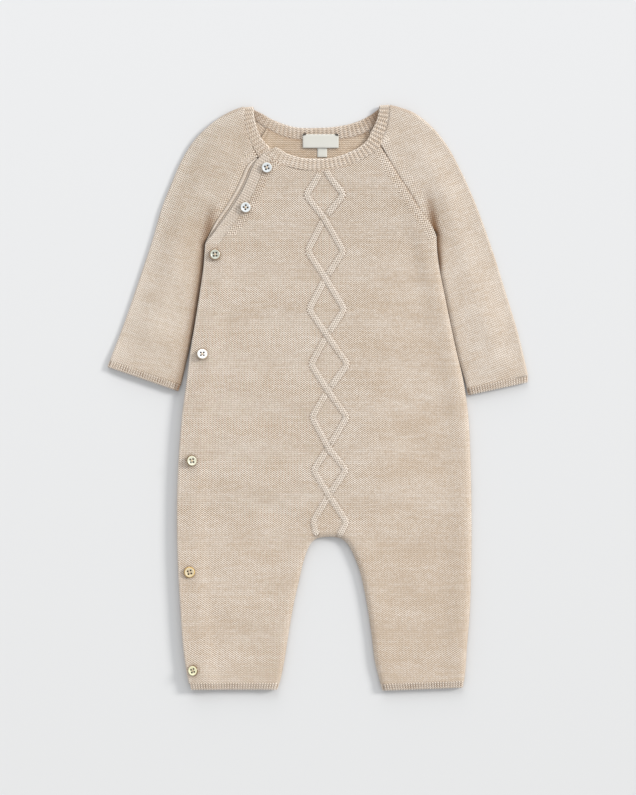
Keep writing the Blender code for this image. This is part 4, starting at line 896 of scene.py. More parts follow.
def build_front():
    left_off = offsets((0, .25, .6, 1.0, 1.5, 2.1, 2.9, 3.9, 5.0, 6.3, 7.6, 8.9, 10.2), 11.5)
    inner = offsets((0, .3, .7, 1.2, 1.8, 2.5, 3.3, 4.2), EDGE_R, 6.8)
    rise = offsets((0, .3, .7, 1.2, 1.8, 2.5, 3.3, 4.2), EDGE_R, 6.6, 7.9)
    band_in = [(r[4], r[5]) for r in OPENING]
    neck = neck_line(NECK_FRONT, band_in[-1], RAGLAN[-1], -0.5)
    band_in[-1] = neck[0]
    rag = [(x + 0.35, y + 0.25) for x, y in RAGLAN]
    rag[-1] = neck[-1]
    band_in[0] = (body_x(133.6)[0][0] + 11.5, 133.6)
    rag[0] = (body_x(140.0)[1][0], 140.0)
    grid, (c0, m, g, leg_rows) = panel_grid(
        left_off, inner, 62, 22, 90, rise, 178, 62, Curve(band_in), Curve(rag),
        Curve(neck), True, dense=(-13.0, 30.0, 2.4))
    have = np.isfinite(grid[..., 0])
    pts = grid[have]
    zu, zl, move, d_open = front_height(pts)
    x, y = pts[:, 0], pts[:, 1]
    add, share, wale, course = cable(pts)
    # the cable's strands are painted paler, partly their stretched stitches and partly painted light on the raised
    # strands; darker over the right side, the legs and the crotch
    pale = 1.75 * smooth((share - 0.3) / 0.5)
    pale -= 0.45 * smooth((x - 30.0) / 30.0) * smooth((150.0 - y) / 40.0)
    pale -= 0.40 * smooth((-95.0 - y) / 35.0) + 0.30 * smooth((-110.0 - y) / 50.0) * smooth(x / 30.0)
    pale -= 1.1 * bell(np.hypot(x - 2.0, (y + 108.0) * 1.3), 15.0)
    # seams: along the raglan and under the neckband the cloth is drawn down
    d_rag, _, _, _, along = nearest(RAGLAN_LINE, pts)
    d_neck = nearest(NECK_SEAM, pts)[0]
    d_band, _, _, _, band_along = nearest(BAND_INNER, pts)
    stitch = 0.55 + 0.45 * np.cos(2 * math.pi * along / 2.35)
    zu -= 0.28 * bell(d_neck, 0.9)
    zu -= (0.20 + 0.75 * smooth((y - 158.0) / 16.0) * stitch) * bell(d_rag, 0.75) * smooth((y - 137.0) / 6.0)
    zu += raglan_marks(d_rag, along) * smooth((y - 138.0) / 10.0) * (1 - bell(d_neck, 4.0))
    # paler beside the raglan; painted light on the open edge, the closed side and the inseams, where they round away
    # from the lamp
    pale += 0.25 * bell(d_rag - 3.6, 3.0) * smooth((y - 138.0) / 10.0)
    pale += 1.9 * bell(d_open, 1.8) * smooth((150.0 - y) / 8.0)
    pale += 0.8 * bell(nearest(SHUT_SIDE, pts)[0], 1.7) * smooth((150.0 - y) / 8.0)
    pale += 1.5 * bell(nearest(INSEAM_LINE, pts)[0], 1.8) * np.maximum(smooth((x - 40.0) / 15.0), smooth((y + 140.0) / 12.0))
    # the opening band's ribs run on into the front and fade
    on_band = smooth((y - 142.0) / 16.0)
    zu += 0.25 * np.cos(2 * math.pi * band_along / BAND_PITCH) * smooth(1 - d_band / 11.0) * on_band
    zu += add
    # painted shade: in the raglan seam's notches, under the neckband, in thin lines beside the cable's strands and in
    # the band's rib gaps, and a painted contact shadow round each button
    painted_shade = (0.55 + 0.40 * np.cos(2 * math.pi * along / 2.35)) * bell(d_rag, 0.75) * smooth((y - 158.0) / 14.0)
    painted_shade = np.maximum(painted_shade, 0.30 * bell(d_neck - 0.2, 0.8))
    painted_shade = np.maximum(painted_shade, 0.36 * bell(share - 0.40, 0.42) * (add < 0.25))
    painted_shade = np.maximum(painted_shade, 0.15 * (1 - np.cos(2 * math.pi * band_along / BAND_PITCH)) * smooth(1 - d_band / 9.0) * on_band)
    for bx, by in [row[:2] for row in BUTTONS]:
        painted_shade = np.maximum(painted_shade, 0.38 * bell(np.hypot(x - bx, y - by) - 5.0, 0.8))
    # beside both raglans three wales run with the edge
    rag_zone = 0.5 + np.minimum(7.8 - d_rag, (along - 0.5) * 0.8)
    band_zone = 0.5 + np.minimum(7.8 - d_band, (y - 142.0) * 0.6)
    zone, u2, v2 = share, wale + 900.0, course
    for other, u3, v3 in ((rag_zone, d_rag / 2.6 + 400.0, along / 2.35),
                          (band_zone, d_band / 2.6 + 600.0, band_along / 2.35)):
        pick = (other > zone) & (share < 0.3)
        zone, u2, v2 = (np.where(pick, p, q) for p, q in ((other, zone), (u3, u2), (v3, v2)))
    knit = np.full(grid.shape[:2] + (9,), np.nan)
    knit[have] = stitched(pts, zone, u2, v2, pale, painted_shade)
    up = np.full(grid.shape[:2] + (3,), np.nan)
    low = np.full(grid.shape[:2] + (3,), np.nan)
    d_edge = np.minimum(nearest(SHUT_SIDE, pts)[0], nearest(INSEAM_LINE, pts)[0])
    zu -= 0.25 * (d_edge < 0.05)
    up[have] = place(x, y, zu)
    low[have] = place(x + move[:, 0], y + move[:, 1], zl)
    return wall("front_knit", up, low, knit, KNIT_MAT, step=(5, 5),
                keep=((leg_rows, grid.shape[0] - 62 - 1), (c0, m, g, 4)), replaces=("front_panel",))


def build_back():
    left = [(r[0], r[1]) for r in BACK_RAGLANS]
    right = [(r[2], r[3]) for r in BACK_RAGLANS]
    neck = neck_line(NECK_BACK, left[-1], right[-1], -0.6)
    left[-1], right[-1] = neck[0], neck[-1]
    left[0] = (body_x(133.6)[0][0], 133.6)
    right[0] = (body_x(140.0)[1][0], 140.0)
    left = [(x - 0.15, y) if 0 < i < 6 else (x, y) for i, (x, y) in enumerate(left)]
    right = [(x + 0.15, y) if 0 < i < 6 else (x, y) for i, (x, y) in enumerate(right)]
    inner = offsets((0, .4, 1.0, 2.0, 3.5), 6.0)
    rise = offsets((0, .4, 1.0, 2.0, 3.5), 6.0)
    grid, (c0, m, g, leg_rows) = panel_grid(
        inner, inner, 30, 10, 44, rise, 84, 34, Curve(left), Curve(right), Curve(neck), False)
    have = np.isfinite(grid[..., 0])
    pts = grid[have]
    x, y = pts[:, 0], pts[:, 1]
    best, turn = np.full(len(pts), 1e9), np.zeros((len(pts), 2))
    for line in (OPEN_SIDE[::-1], SHUT_SIDE, INSEAM_LINE):
        d, n = nearest(line, pts)[:2]
        turn = np.where((d < best)[:, None], n, turn)
        best = np.minimum(best, d)
    neck_line_pts = Curve([r[2:4] for r in NECK_BACK]).line(120)
    d_neck = nearest(neck_line_pts, pts)[0]
    rag_l = nearest(np.array([(r[0], r[1]) for r in BACK_RAGLANS]), pts)[0]
    rag_r = nearest(np.array([(r[2], r[3]) for r in BACK_RAGLANS]), pts)[0]
    inside = smooth((y - 190.0) / 12.0)
    zu = KNIT + 0.02 + (0.25 * lumps(x, y, 17.0, 7) + 0.1 * lumps(x, y, 6.0, 8)) * inside
    zu += 0.55 * inside * bell(d_neck - 1.2, 1.5) - 0.45 * inside * bell(d_neck - 3.4, 1.0)
    zu += 0.4 * inside * (bell(rag_l, 1.3) + bell(rag_r, 1.3))
    lower = 0.0 + 1.9 * (1 - round_off(best / 2.2))
    zu = np.where(best < 3.0, KNIT + 0.05, zu)
    low_move = turn * (0.7 * (best < 0.05))[:, None]
    up = np.full(grid.shape[:2] + (3,), np.nan)
    low = np.full(grid.shape[:2] + (3,), np.nan)
    knit = np.full(grid.shape[:2] + (9,), np.nan)
    up[have] = place(x, y, zu)
    low[have] = place(x + low_move[:, 0], y + low_move[:, 1], lower)
    rag = np.minimum(rag_l, rag_r)
    # painted shade: brown lines at the neck seam and in and beside both raglans, painted shadow under the neckband's
    # right end and a little in the middle below it; paler strips along the raglans
    painted_shade = inside * (0.60 * bell(d_neck - 0.2, 0.8) + 0.35 * bell(rag - 3.4, 0.7) + 0.35 * bell(rag, 0.6))
    painted_shade += 0.35 * smooth((x - 34.0) / 16.0) * inside
    painted_shade += 0.11 * inside * bell(x + 4.0, 24.0)
    knit[have] = stitched(pts, 0.0, 0.0, 0.0, 0.9 * inside * bell(rag - 1.8, 1.2), painted_shade)
    return wall("back_knit", up, low, knit, SHADED_INSIDE_MAT, step=(2, 2),
                keep=((leg_rows,), (c0, m, g, 1, 2, 3)), replaces=("back_panel",))


# -------------------------------------------------------------------- sleeves
def build_sleeve(name, node, table, trough, sign, edge_r, mat, rows=196):
    outer = np.array([(r[2], r[3]) for r in table])
    step = np.linalg.norm(np.diff(outer, axis=0), axis=1)
    t = np.concatenate([[0.0], np.cumsum(step)]) / step.sum()
    curve = Curve(table, t=t)
    us = np.linspace(0, 1, rows)
    row = curve.at(us)
    inner_f, out, inner_b = row[:, 0:2].copy(), row[:, 2:4].copy(), row[:, 4:6].copy()
    height, bow_f, bow_b, lev, edge = (row[:, k] for k in range(6, 11))
    edge = smooth(edge)
    tan = curve.at(np.minimum(us + 0.01, 1))[:, 2:4] - curve.at(np.maximum(us - 0.01, 0))[:, 2:4]
    tan /= np.linalg.norm(tan, axis=1)[:, None]
    nrm = np.stack([tan[:, 1], -tan[:, 0]], 1)
    flip = ((nrm * (out - inner_f)).sum(1) < 0)
    nrm[flip] *= -1
    # the lowest row tucks just under the cuff, the inner edge just past the raglan seam
    down = np.array([math.sin(math.radians(SLEEVE_LEAN)) * sign, -math.cos(math.radians(SLEEVE_LEAN))])
    tuck = bell(us, 0.006)[:, None] * 0.6
    inner_f += down * tuck
    out += down * tuck
    inner_b += down * tuck
    way = inner_f - out
    way /= np.linalg.norm(way, axis=1)[:, None]
    inner_f += way * ((1 - edge) * 0.45)[:, None]
    lap = bell(1 - us, 0.014)[:, None]
    toward_neck = np.array([-sign * 1.35, 0.0])
    inner_f += toward_neck * lap
    out += toward_neck * lap
    inner_b += np.array([-sign * 0.5, 1.1 if sign > 0 else 1.9]) * lap
    way = inner_b - out
    way /= np.linalg.norm(way, axis=1)[:, None]
    inner_b += way * ((1 - edge) * 0.9)[:, None]
    # under the arm the sleeve lies close against the body
    beside = body_x(inner_f[:, 1])[0 if sign < 0 else 1]
    close = np.maximum(sign * (inner_f[:, 0] - beside) - (0.25 if sign < 0 else -0.30), 0.0) * edge
    close = np.minimum(close, 2.6 if sign < 0 else 3.4) * smooth((inner_f[:, 1] - (45.0 if sign < 0 else 12.0)) / 25.0)
    inner_f[:, 0] -= sign * close
    inner_b[:, 0] -= sign * close
    # towards its outer fold the sleeve thins and settles on the surface
    least = (3.0 if sign < 0 else 3.6) + 1.3 * smooth(1 - us / 0.10)
    fold = height + (least - height) * smooth((0.96 - us) / 0.24)
    c = out - nrm * (fold / 2)[:, None]
    centre = np.array([0.0, 235.0])
    near_off = np.array([0, .3, .7, 1.2, 1.8, 2.5, 3.3, 4.2, 5.2, 6.3])
    n_mid, n_fold, n_back = 38, 11, 16
    n_front = len(near_off) + n_mid + 1
    cols = n_front + n_fold + n_back
    up = np.full((rows, cols, 3), np.nan)
    low = np.full((rows, cols, 3), np.nan)
    flat = np.full((rows, cols, 2), np.nan)     # the cloth laid out, for its stitches
    for i in range(rows):
        chord = c[i] - inner_f[i]
        length = np.linalg.norm(chord)
        along = chord / length
        perp = np.array([-along[1], along[0]])
        if perp @ (inner_f[i] + chord / 2 - centre) < 0:
            perp = -perp
        dist = np.concatenate([near_off, near_off[-1] + (length - near_off[-1]) * np.arange(1, n_mid + 1) / (n_mid + 1), [length]])
        s = dist / length
        p = inner_f[i] + along * dist[:, None] + perp * (bow_f[i] * 4 * s * (1 - s))[:, None]
        lift = (lev[i] - LAYER2) + (height[i] - KNIT - lev[i]) * smooth(s)
        td, _, tf, _, _ = nearest(trough, p)
        lift = lift * (1 - 0.95 * smooth(tf * 1.6) * bell(td, 6.0))
        k = np.minimum(dist / edge_r, 1.0)
        rest = smooth(dist / 10.0) * smooth((length - dist) / 8.0 + 0.25)
        rough = (relief(p[:, 0] * 1.1, p[:, 1] + 60) + creases(p, SLEEVE_CREASES)) * rest
        zu = LAYER2 + (lift + KNIT) * ((1 - edge[i]) + edge[i] * round_off(k)) + rough
        inset = KNIT * np.maximum(0.0, 1 - k) * edge[i]
        kl = (dist + inset - KNIT) / (edge_r - KNIT)
        zl = LAYER2 + lift * ((1 - edge[i]) + edge[i] * round_off(kl)) + 0.4 * rough
        r_out = fold[i] / 2
        r_in = max(r_out - KNIT, 0.15)
        thin = smooth(1 - (length - dist) / 26.0)
        zu = zu - (height[i] - fold[i]) * thin
        zl = zl + (np.minimum(fold[i] / 2 + r_in, zu - 1.0) - zl) * thin ** 2
        up[i, :n_front] = np.column_stack([p, zu])
        low[i, :n_front] = np.column_stack([p + along * inset[:, None], zl])
        flat[i, :n_front] = p
        a = np.radians(np.linspace(0, 180, n_fold + 2)[1:-1])
        # the fold's upper side swells a little and its underside is flat
        for store, rad in ((up, r_out), (low, r_in)):
            q = c[i] + nrm[i] * (rad * np.sin(a))[:, None]
            store[i, n_front:n_front + n_fold] = np.column_stack([q, r_out + rad * np.cos(a)])
        flat[i, n_front:n_front + n_fold] = c[i] + nrm[i] * (r_out * a)[:, None]
        chord = inner_b[i] - c[i]
        length = np.linalg.norm(chord)
        al = chord / length
        pp = np.array([-al[1], al[0]])
        if pp @ (c[i] + chord / 2 - centre) < 0:
            pp = -pp
        s = np.linspace(0, 1, n_back)
        q = c[i] + al * (length * s)[:, None] + pp * (bow_b[i] * 4 * s * (1 - s))[:, None]
        up[i, n_front + n_fold:] = np.column_stack([q, np.zeros(n_back)])
        back_low = KNIT + (r_out - r_in - KNIT) * smooth(1 - length * s / 20.0)
        low[i, n_front + n_fold:] = np.column_stack([q, back_low])
        flat[i, n_front + n_fold:] = c[i] + nrm[i] * (math.pi * r_out + length * s)[:, None]
    pts = up[..., :2].reshape(-1, 2)
    front = (np.arange(cols)[None, :].repeat(rows, 0) < n_front).reshape(-1)
    neck = NECK_SEAM if sign > 0 else Curve([r[2:4] for r in NECK_UNDER]).line(120)
    d_neck = nearest(neck, pts)[0]
    seam = RAGLAN_LINE if sign > 0 else OPENING_LINE[:, 0:2]
    d_rag, _, _, _, run = nearest(seam, pts)
    y = pts[:, 1]
    z = up[..., 2].reshape(-1)
    high = smooth((y - 137.0) / 9.0)
    notch = 0.55 + 0.45 * np.cos(2 * math.pi * run / 2.35)
    dz = -0.28 * bell(d_neck, 0.9)
    if sign > 0:
        dz -= (0.20 + 0.75 * smooth((y - 158.0) / 16.0) * notch) * bell(d_rag, 0.75) * high
    else:
        dz -= 0.75 * bell(d_rag, 0.8) * high
    dz += raglan_marks(d_rag, run) * high * (1 - bell(d_neck, 4.0))
    z = z + dz * front
    d_out = nearest(out, pts)[0]
    groove = np.vstack([trough[:-1], inner_f[edge > 0.7][::-1]])
    d_g = nearest(groove, pts)[0]
    # painted shade: dark near the groove beside the body, in the closed sleeve's raglan notches, at the neck seam, and
    # on the back layer's top
    if sign < 0:
        painted_shade = 0.76 * smooth(1 - d_g / (7.7 + 1.7 * smooth((135.0 - y) / 30.0))) ** 1.1 * smooth((176.0 - y) / 32.0) * (0.75 + 0.25 * smooth((y - 42.0) / 22.0))
    else:
        reach = 2.4 + 5.4 * smooth((y - 106.0) / 22.0) + 3.0 * smooth((70.0 - y) / 45.0)
        painted_shade = smooth(1 - d_g / reach) ** 1.3 * smooth((190.0 - y) / 44.0)
        painted_shade *= 0.05 + 0.92 * smooth((y - 103.0) / 14.0)
        painted_shade = np.maximum(painted_shade, (0.50 + 0.40 * notch) * bell(d_rag, 0.75) * smooth((y - 158.0) / 14.0))
    painted_shade = np.maximum(painted_shade, 0.28 * bell(d_neck, 0.8) * (0.6 + 0.8 * lattice(np.floor(y / 1.9), 0 * y, 9)))
    painted_shade = np.clip(painted_shade, 0, 1) * front
    back_top = (1 - front) * smooth((np.repeat(us, cols) - 0.90) / 0.05)
    painted_shade = np.maximum(painted_shade, 0.22 * back_top)
    up[..., 2] = z.reshape(rows, cols)
    # wales run down the arm, courses square to them
    lean = math.radians(SLEEVE_LEAN) * sign
    axis = np.array([math.sin(lean), -math.cos(lean)])
    across = np.array([math.cos(lean), math.sin(lean)])
    f = flat.reshape(-1, 2)
    cuff_way = np.array(table[0][2:4]) - np.array(table[0][0:2])
    tilt = math.atan2(cuff_way[1], cuff_way[0] * sign) * sign - lean
    if tilt < -math.pi / 2:
        tilt += math.pi
    du, dv = f @ across, f @ axis
    low_end = (np.array(table[0][0:2]) + np.array(table[0][2:4])) / 2
    near_cuff = smooth(1 - ((low_end @ axis) - dv) / 110.0)
    dv = dv - (du - low_end @ across) * math.tan(tilt) * near_cuff
    u = du / SLEEVE_WALE + 700.0
    v = dv / SLEEVE_COURSE + 500.0
    wide = 9.6 if sign > 0 else 7.4
    zone = 0.5 + np.minimum(wide - d_rag, (run - 0.5) * 0.8)
    zone = np.where(front, zone, -2.0)
    show = 0.68 + 0.27 * smooth((zone + 2.0) / 3.0)
    show = np.maximum(show, 0.68 + (0.42 if sign < 0 else 0.20) * smooth((y - 110.0) / 50.0))
    # paler beside the raglan; painted light towards the outer fold, where the sleeve thins away from the lamp; painted
    # shade near the groove and on the back layer's top; the open sleeve darker towards its top
    paler = 0.25 * bell(d_rag - 4.0, 3.5) * high * front - back_top
    paler += (1.0 if sign < 0 else 0.3) * smooth(1 - d_out / 16.0)
    if sign < 0:
        paler -= 0.7 * smooth((y - 95.0) / 60.0) * smooth(d_out / 14.0)
        paler -= 1.5 * smooth(1 - d_g / 27.0) * smooth((185.0 - y) / 40.0)
    else:
        paler -= 0.9 * smooth(1 - d_g / 20.0) * smooth((200.0 - y) / 40.0)
    knit = np.stack([u, v, show, d_rag / 2.4 + 300.0, run / 2.2, np.clip(zone, -2, 3),
                     paler, painted_shade, zone * 0], 1).reshape(rows, cols, 9)
    for arr in (up, low):
        arr[:] = place(arr[..., 0], arr[..., 1], arr[..., 2])
    return wall(name, up, low, knit, mat, step=(5, 4),
                keep=((), (n_front - 1, n_front + 3, n_front + 7, n_front + n_fold, 3)), replaces=(node,))


# ----------------------------------------------------------------- rib strips
def profile(n_out=13, n_in=5):
    """Cross-section of a strip: (share from seam to free edge, thickness -1..1)."""
    outer = [(a, 1.0) for a in np.linspace(0.0, 0.88, n_out)]
    edge = [(0.88 + 0.12 * math.sin(math.radians(d)), math.cos(math.radians(d))) for d in (25, 50, 75, 90, 105, 130, 155)]
    inner = [(a, -1.0) for a in np.linspace(0.88, 0.0, n_in)]
    return np.array(outer + edge + inner)


def ribs(along, pitch):
    """Rounded ribs with narrow gaps, 0 to 1, and uneven by a little."""
    w = along + 0.35 * lumps(along, along * 0 + 3.0, 17.0, 5)
    c = 0.5 + 0.5 * np.cos(2 * math.pi * w / pitch)
    return c ** 0.75, w / pitch + 0.5


def strip(name, seam, free, normal, wall_t, pitch, depth, mat, closed=False,
          replaces=(), soften=1.0, tall=0.85, start=0.0, flat_under=None, tuck=0.0, shade=None, gap=0.45, pairs=0.0):
    """A ribbed strip along its seam.  All positions lie mid-wall, in mm."""
    if tuck:
        way = seam - free
        seam = seam + way / np.linalg.norm(way, axis=1)[:, None] * tuck
    mid = (seam + free) / 2
    seg = np.linalg.norm(np.diff(mid, axis=0), axis=1)
    along = np.concatenate([[0.0], np.cumsum(seg)]) + start
    if closed:
        total = along[-1] + np.linalg.norm(mid[0] - mid[-1]) - start
        pitch = total / round(total / pitch)
    prof = profile()
    a, h = prof[:, 0], prof[:, 1]
    ridge, wale = ribs(along, pitch)
    if closed:
        wale = along / pitch + 0.5
        ridge = (0.5 + 0.5 * np.cos(2 * math.pi * along / pitch)) ** 0.75
    width = np.linalg.norm(free - seam, axis=1)
    # ribs start at the seam and run out into the finished edge
    window = smooth(a / 0.16) * (1 - soften * 0.72 * smooth((a - 0.80) / 0.16))
    out = np.abs(h)
    push = (ridge[:, None] - 0.55) * depth * window[None, :] * out[None, :]
    seam_dip = (-0.10 if pairs else -0.30) * bell(a * width.mean(), 0.7)
    thick = np.sign(h)[None, :] * (wall_t / 2 * out[None, :] + push) + (seam_dip * (h > 0))[None, :]
    reach = 1.0 + 0.035 * soften * (ridge[:, None] - 0.5) * smooth((a - 0.85) / 0.1)[None, :]
    p = (seam[:, None, :] + (free - seam)[:, None, :] * (a[None, :] * reach)[..., None]
         + normal[:, None, :] * thick[..., None])
    if flat_under is not None:
        p[..., 2] = np.maximum(p[..., 2], flat_under)
    knit = np.zeros(p.shape[:2] + (9,))
    knit[..., 0] = wale[:, None]
    knit[..., 1] = (a[None, :] * width[:, None]) / COURSE + 0.3
    knit[..., 2] = tall
    # painted light: paler towards the finished edge where it rolls under, more on the paired ribs of cuffs and hems,
    # which are paler all over too
    knit[..., 6] = 0.6 * smooth((a - 0.76) / 0.16)[None, :] + (1.0 if pairs else 0.0)
    knit[..., 6] += (1.0 if pairs else 0.0) * smooth((a - 0.84) / 0.14)[None, :]
    # painted shade in the gaps between the ribs
    beat = 1 - pairs + 2 * pairs * (0.5 + 0.5 * np.cos(math.pi * along / pitch + lumps(along, along * 0, 11.0, 6)))
    painted_shade = gap * (beat * (1 - ridge) ** (5.0 if pairs else 1.6))[:, None] * (window * (1 - smooth((a - 0.70) / 0.16)))[None, :]
    if shade is not None:
        painted_shade = 1 - (1 - painted_shade) * (1 - shade[:, None])
    knit[..., 7] = np.clip(painted_shade, 0.0, 1.0)
    return tube(name, place(p[..., 0], p[..., 1], p[..., 2]), knit, mat, closed, replaces)


def ring_strip(name, node, table, height, end=None, dark=0.0, depth=0.50):
    """A cuff or hem: a flattened ring of rib."""
    finished, sewn = np.array(table[0], float), np.array(table[1], float)
    r_mid = height / 2 - RIB / 2

    def path(row, tall, last):
        p, q = row[0:2], row[2:4]
        way = (q - p) / np.linalg.norm(q - p)
        a, b = p + way * height / 2, q - way * height / 2
        n = max(8, int(np.linalg.norm(b - a) / 0.55))
        s = np.linspace(0, 1, n, endpoint=False)[:, None]
        turn = np.radians(np.linspace(0, 180, 13, endpoint=False))
        local = tall + (last - tall) * smooth(1 - (1 - s[:, 0]) * np.linalg.norm(b - a) / 24.0)
        top = np.column_stack([a + (b - a) * s, local - RIB / 2])
        nt = np.column_stack([np.zeros((n, 2)), np.ones(n)])
        r1, r2 = last / 2 - RIB / 2, tall / 2 - RIB / 2
        f1 = np.column_stack([b + way * (r_mid * np.sin(turn))[:, None], last / 2 + r1 * np.cos(turn)])
        n1 = np.column_stack([way * np.sin(turn)[:, None], np.cos(turn)])
        under = np.column_stack([b + (a - b) * s, np.full(n, RIB / 2)])
        nu = -nt
        f2 = np.column_stack([a - way * (r_mid * np.sin(turn))[:, None], tall / 2 - r2 * np.cos(turn)])
        n2 = np.column_stack([-way * np.sin(turn)[:, None], -np.cos(turn)])
        return np.vstack([top, f1, under, f2]), np.vstack([nt, n1, nu, n2])

    last = height if end is None else 4.4
    low = height - (1.1 if end is None else 0.6)
    free, normal = path(finished, low, min(last, low))
    # the same stations on the sewn edge
    shift = sewn - finished
    f, _ = path(finished, height, last)
    p, q = finished[0:2], finished[2:4]
    s = ((f[:, :2] - p) @ (q - p)) / ((q - p) @ (q - p))
    seam = f.copy()
    seam[:, :2] += shift[0:2] * (1 - s)[:, None] + shift[2:4] * s[:, None]
    # past the finished edge by a hair, up to the sleeve or leg
    seam[:, :2] += (seam[:, :2] - free[:, :2]) * 0.07
    # painted shade on the strip's upper side near its inner end, beside the body
    shade = None
    if end is not None:
        away = np.hypot(free[:, 0] - end[0], free[:, 1] - end[1])
        shade = dark * smooth(1 - away / 7.0) * (free[:, 2] > 0.5)
    return strip(name, seam, free, normal, RIB, HEM_PITCH, depth, RIB_MAT, closed=True,
                 replaces=(node,), flat_under=0.0, shade=shade, gap=1.0, pairs=0.25)


def build_hem_open():
    """The open leg's hem: a front strip over the stand, round the inseam fold
    and back on the surface."""
    height = LAYER2 + LOFT + 0.3 + RIB
    ends = []
    for row in HEM_OPEN:
        ox, oy, ix, iy = row
        c = ix - height / 2
        xs = np.arange(ox + 1.1, c, 0.55)
        y = oy + (iy - oy) * (xs - ox) / (ix - ox)
        zs = height - (1.0 if row is HEM_OPEN[0] else 0.0) * smooth((c - xs) / 12.0) - RIB / 2 + OVER_STAND * smooth(1 - (xs - ox - STAND_REACH - 1.0) / 14.0)
        top = np.column_stack([xs, y, zs])
        r_mid = height / 2 - RIB / 2
        turn = np.radians(np.linspace(0, 180, 13))
        fold = np.column_stack([c + r_mid * np.sin(turn), np.full(13, iy), height / 2 + r_mid * np.cos(turn)])
        xb = np.arange(c - 0.55, ox + 1.4, -0.55)
        back = np.column_stack([xb, oy + (iy - oy) * (xb - ox) / (ix - ox), np.full(len(xb), RIB / 2)])
        ends.append((top, fold, back))
    n = [min(len(a), len(b)) for a, b in zip(*ends)]

    def fit(part, k, first):
        # the same number of stations on both edges
        t0 = np.linspace(0, 1, len(part))
        return np.stack([np.interp(np.linspace(0, 1, k), t0, part[:, j]) for j in range(3)], 1)

    free = np.vstack([fit(part, k, 0) for part, k in zip(ends[0], n)])
    seam = np.vstack([fit(part, k, 0) for part, k in zip(ends[1], n)])
    turn = np.radians(np.linspace(0, 180, n[1]))
    normal = np.vstack([np.tile((0.0, 0.0, 1.0), (n[0], 1)),
                        np.column_stack([np.sin(turn), np.zeros(n[1]), np.cos(turn)]),
                        np.tile((0.0, 0.0, -1.0), (n[2], 1))])
    seam[:, 1] += 0.4
    return strip("hem_opening", seam, free, normal, RIB, HEM_PITCH, 0.50, RIB_MAT,
                 replaces=("hem_opening_side",), flat_under=0.0, gap=1.0, pairs=0.25)


def build_neckband():
    def part(rows, step):
        c = Curve(rows)
        n = int(np.linalg.norm(np.diff(c.line(200)[:, :2], axis=0), axis=1).sum() / step)
        return c.line(n)

    seam, free, normal = [], [], []

    def add(row, z, nrm, out=(0.0, 0.0), shift=0.0):
        f, s = row[0:2], row[2:4]
        seam.append((*(s + np.array(out) * shift), z))
        free.append((*(f + np.array(out) * shift), z))
        normal.append(nrm)

    def fold(row, angles):
        f, s = row[0:2], row[2:4]
        w = f - s
        out = np.array([-w[1], w[0]]) / np.linalg.norm(w)
        if out[1] < 0:
            out = -out
        rm = 1.45
        for a in np.radians(angles):
            add(row, RIB / 2 + rm + rm * math.cos(a), (*(out * math.sin(a)), math.cos(a)), out, rm * math.sin(a))

    under = part(NECK_UNDER, 0.6)
    for row in under:
        t = RIB if row[4] > 2.85 else RIB - 0.2
        add(row, row[4] + t / 2, (0, 0, 1))
    fold(under[-1], np.linspace(0, 180, 10)[1:-1])
    for row in part(NECK_BACK, 0.6)[1:-1]:
        add(row, RIB / 2, (0, 0, -1))
    front = part(NECK_FRONT, 0.6)
    fold(front[0], np.linspace(180, 0, 10)[1:-1])
    for row in front:
        add(row, row[4] + RIB / 2, (0, 0, 1))
    seam, free, normal = (np.array(v, float) for v in (seam, free, normal))
    # the back of the band lies in shade at both ends
    x = (seam[:, 0] + free[:, 0]) / 2
    low = normal[:, 2] < -0.5
    shade = np.where(low, 0.12 + 0.55 * smooth((x - 38.0) / 14.0) + 0.25 * smooth((-44.0 - x) / 10.0), 0.0)
    return strip("neck_rib", seam, free, normal, RIB, RIB_PITCH, 0.60, RIB_MAT,
                 replaces=("neckband",), soften=0.35, flat_under=0.0, tuck=0.55, shade=shade, gap=0.20)


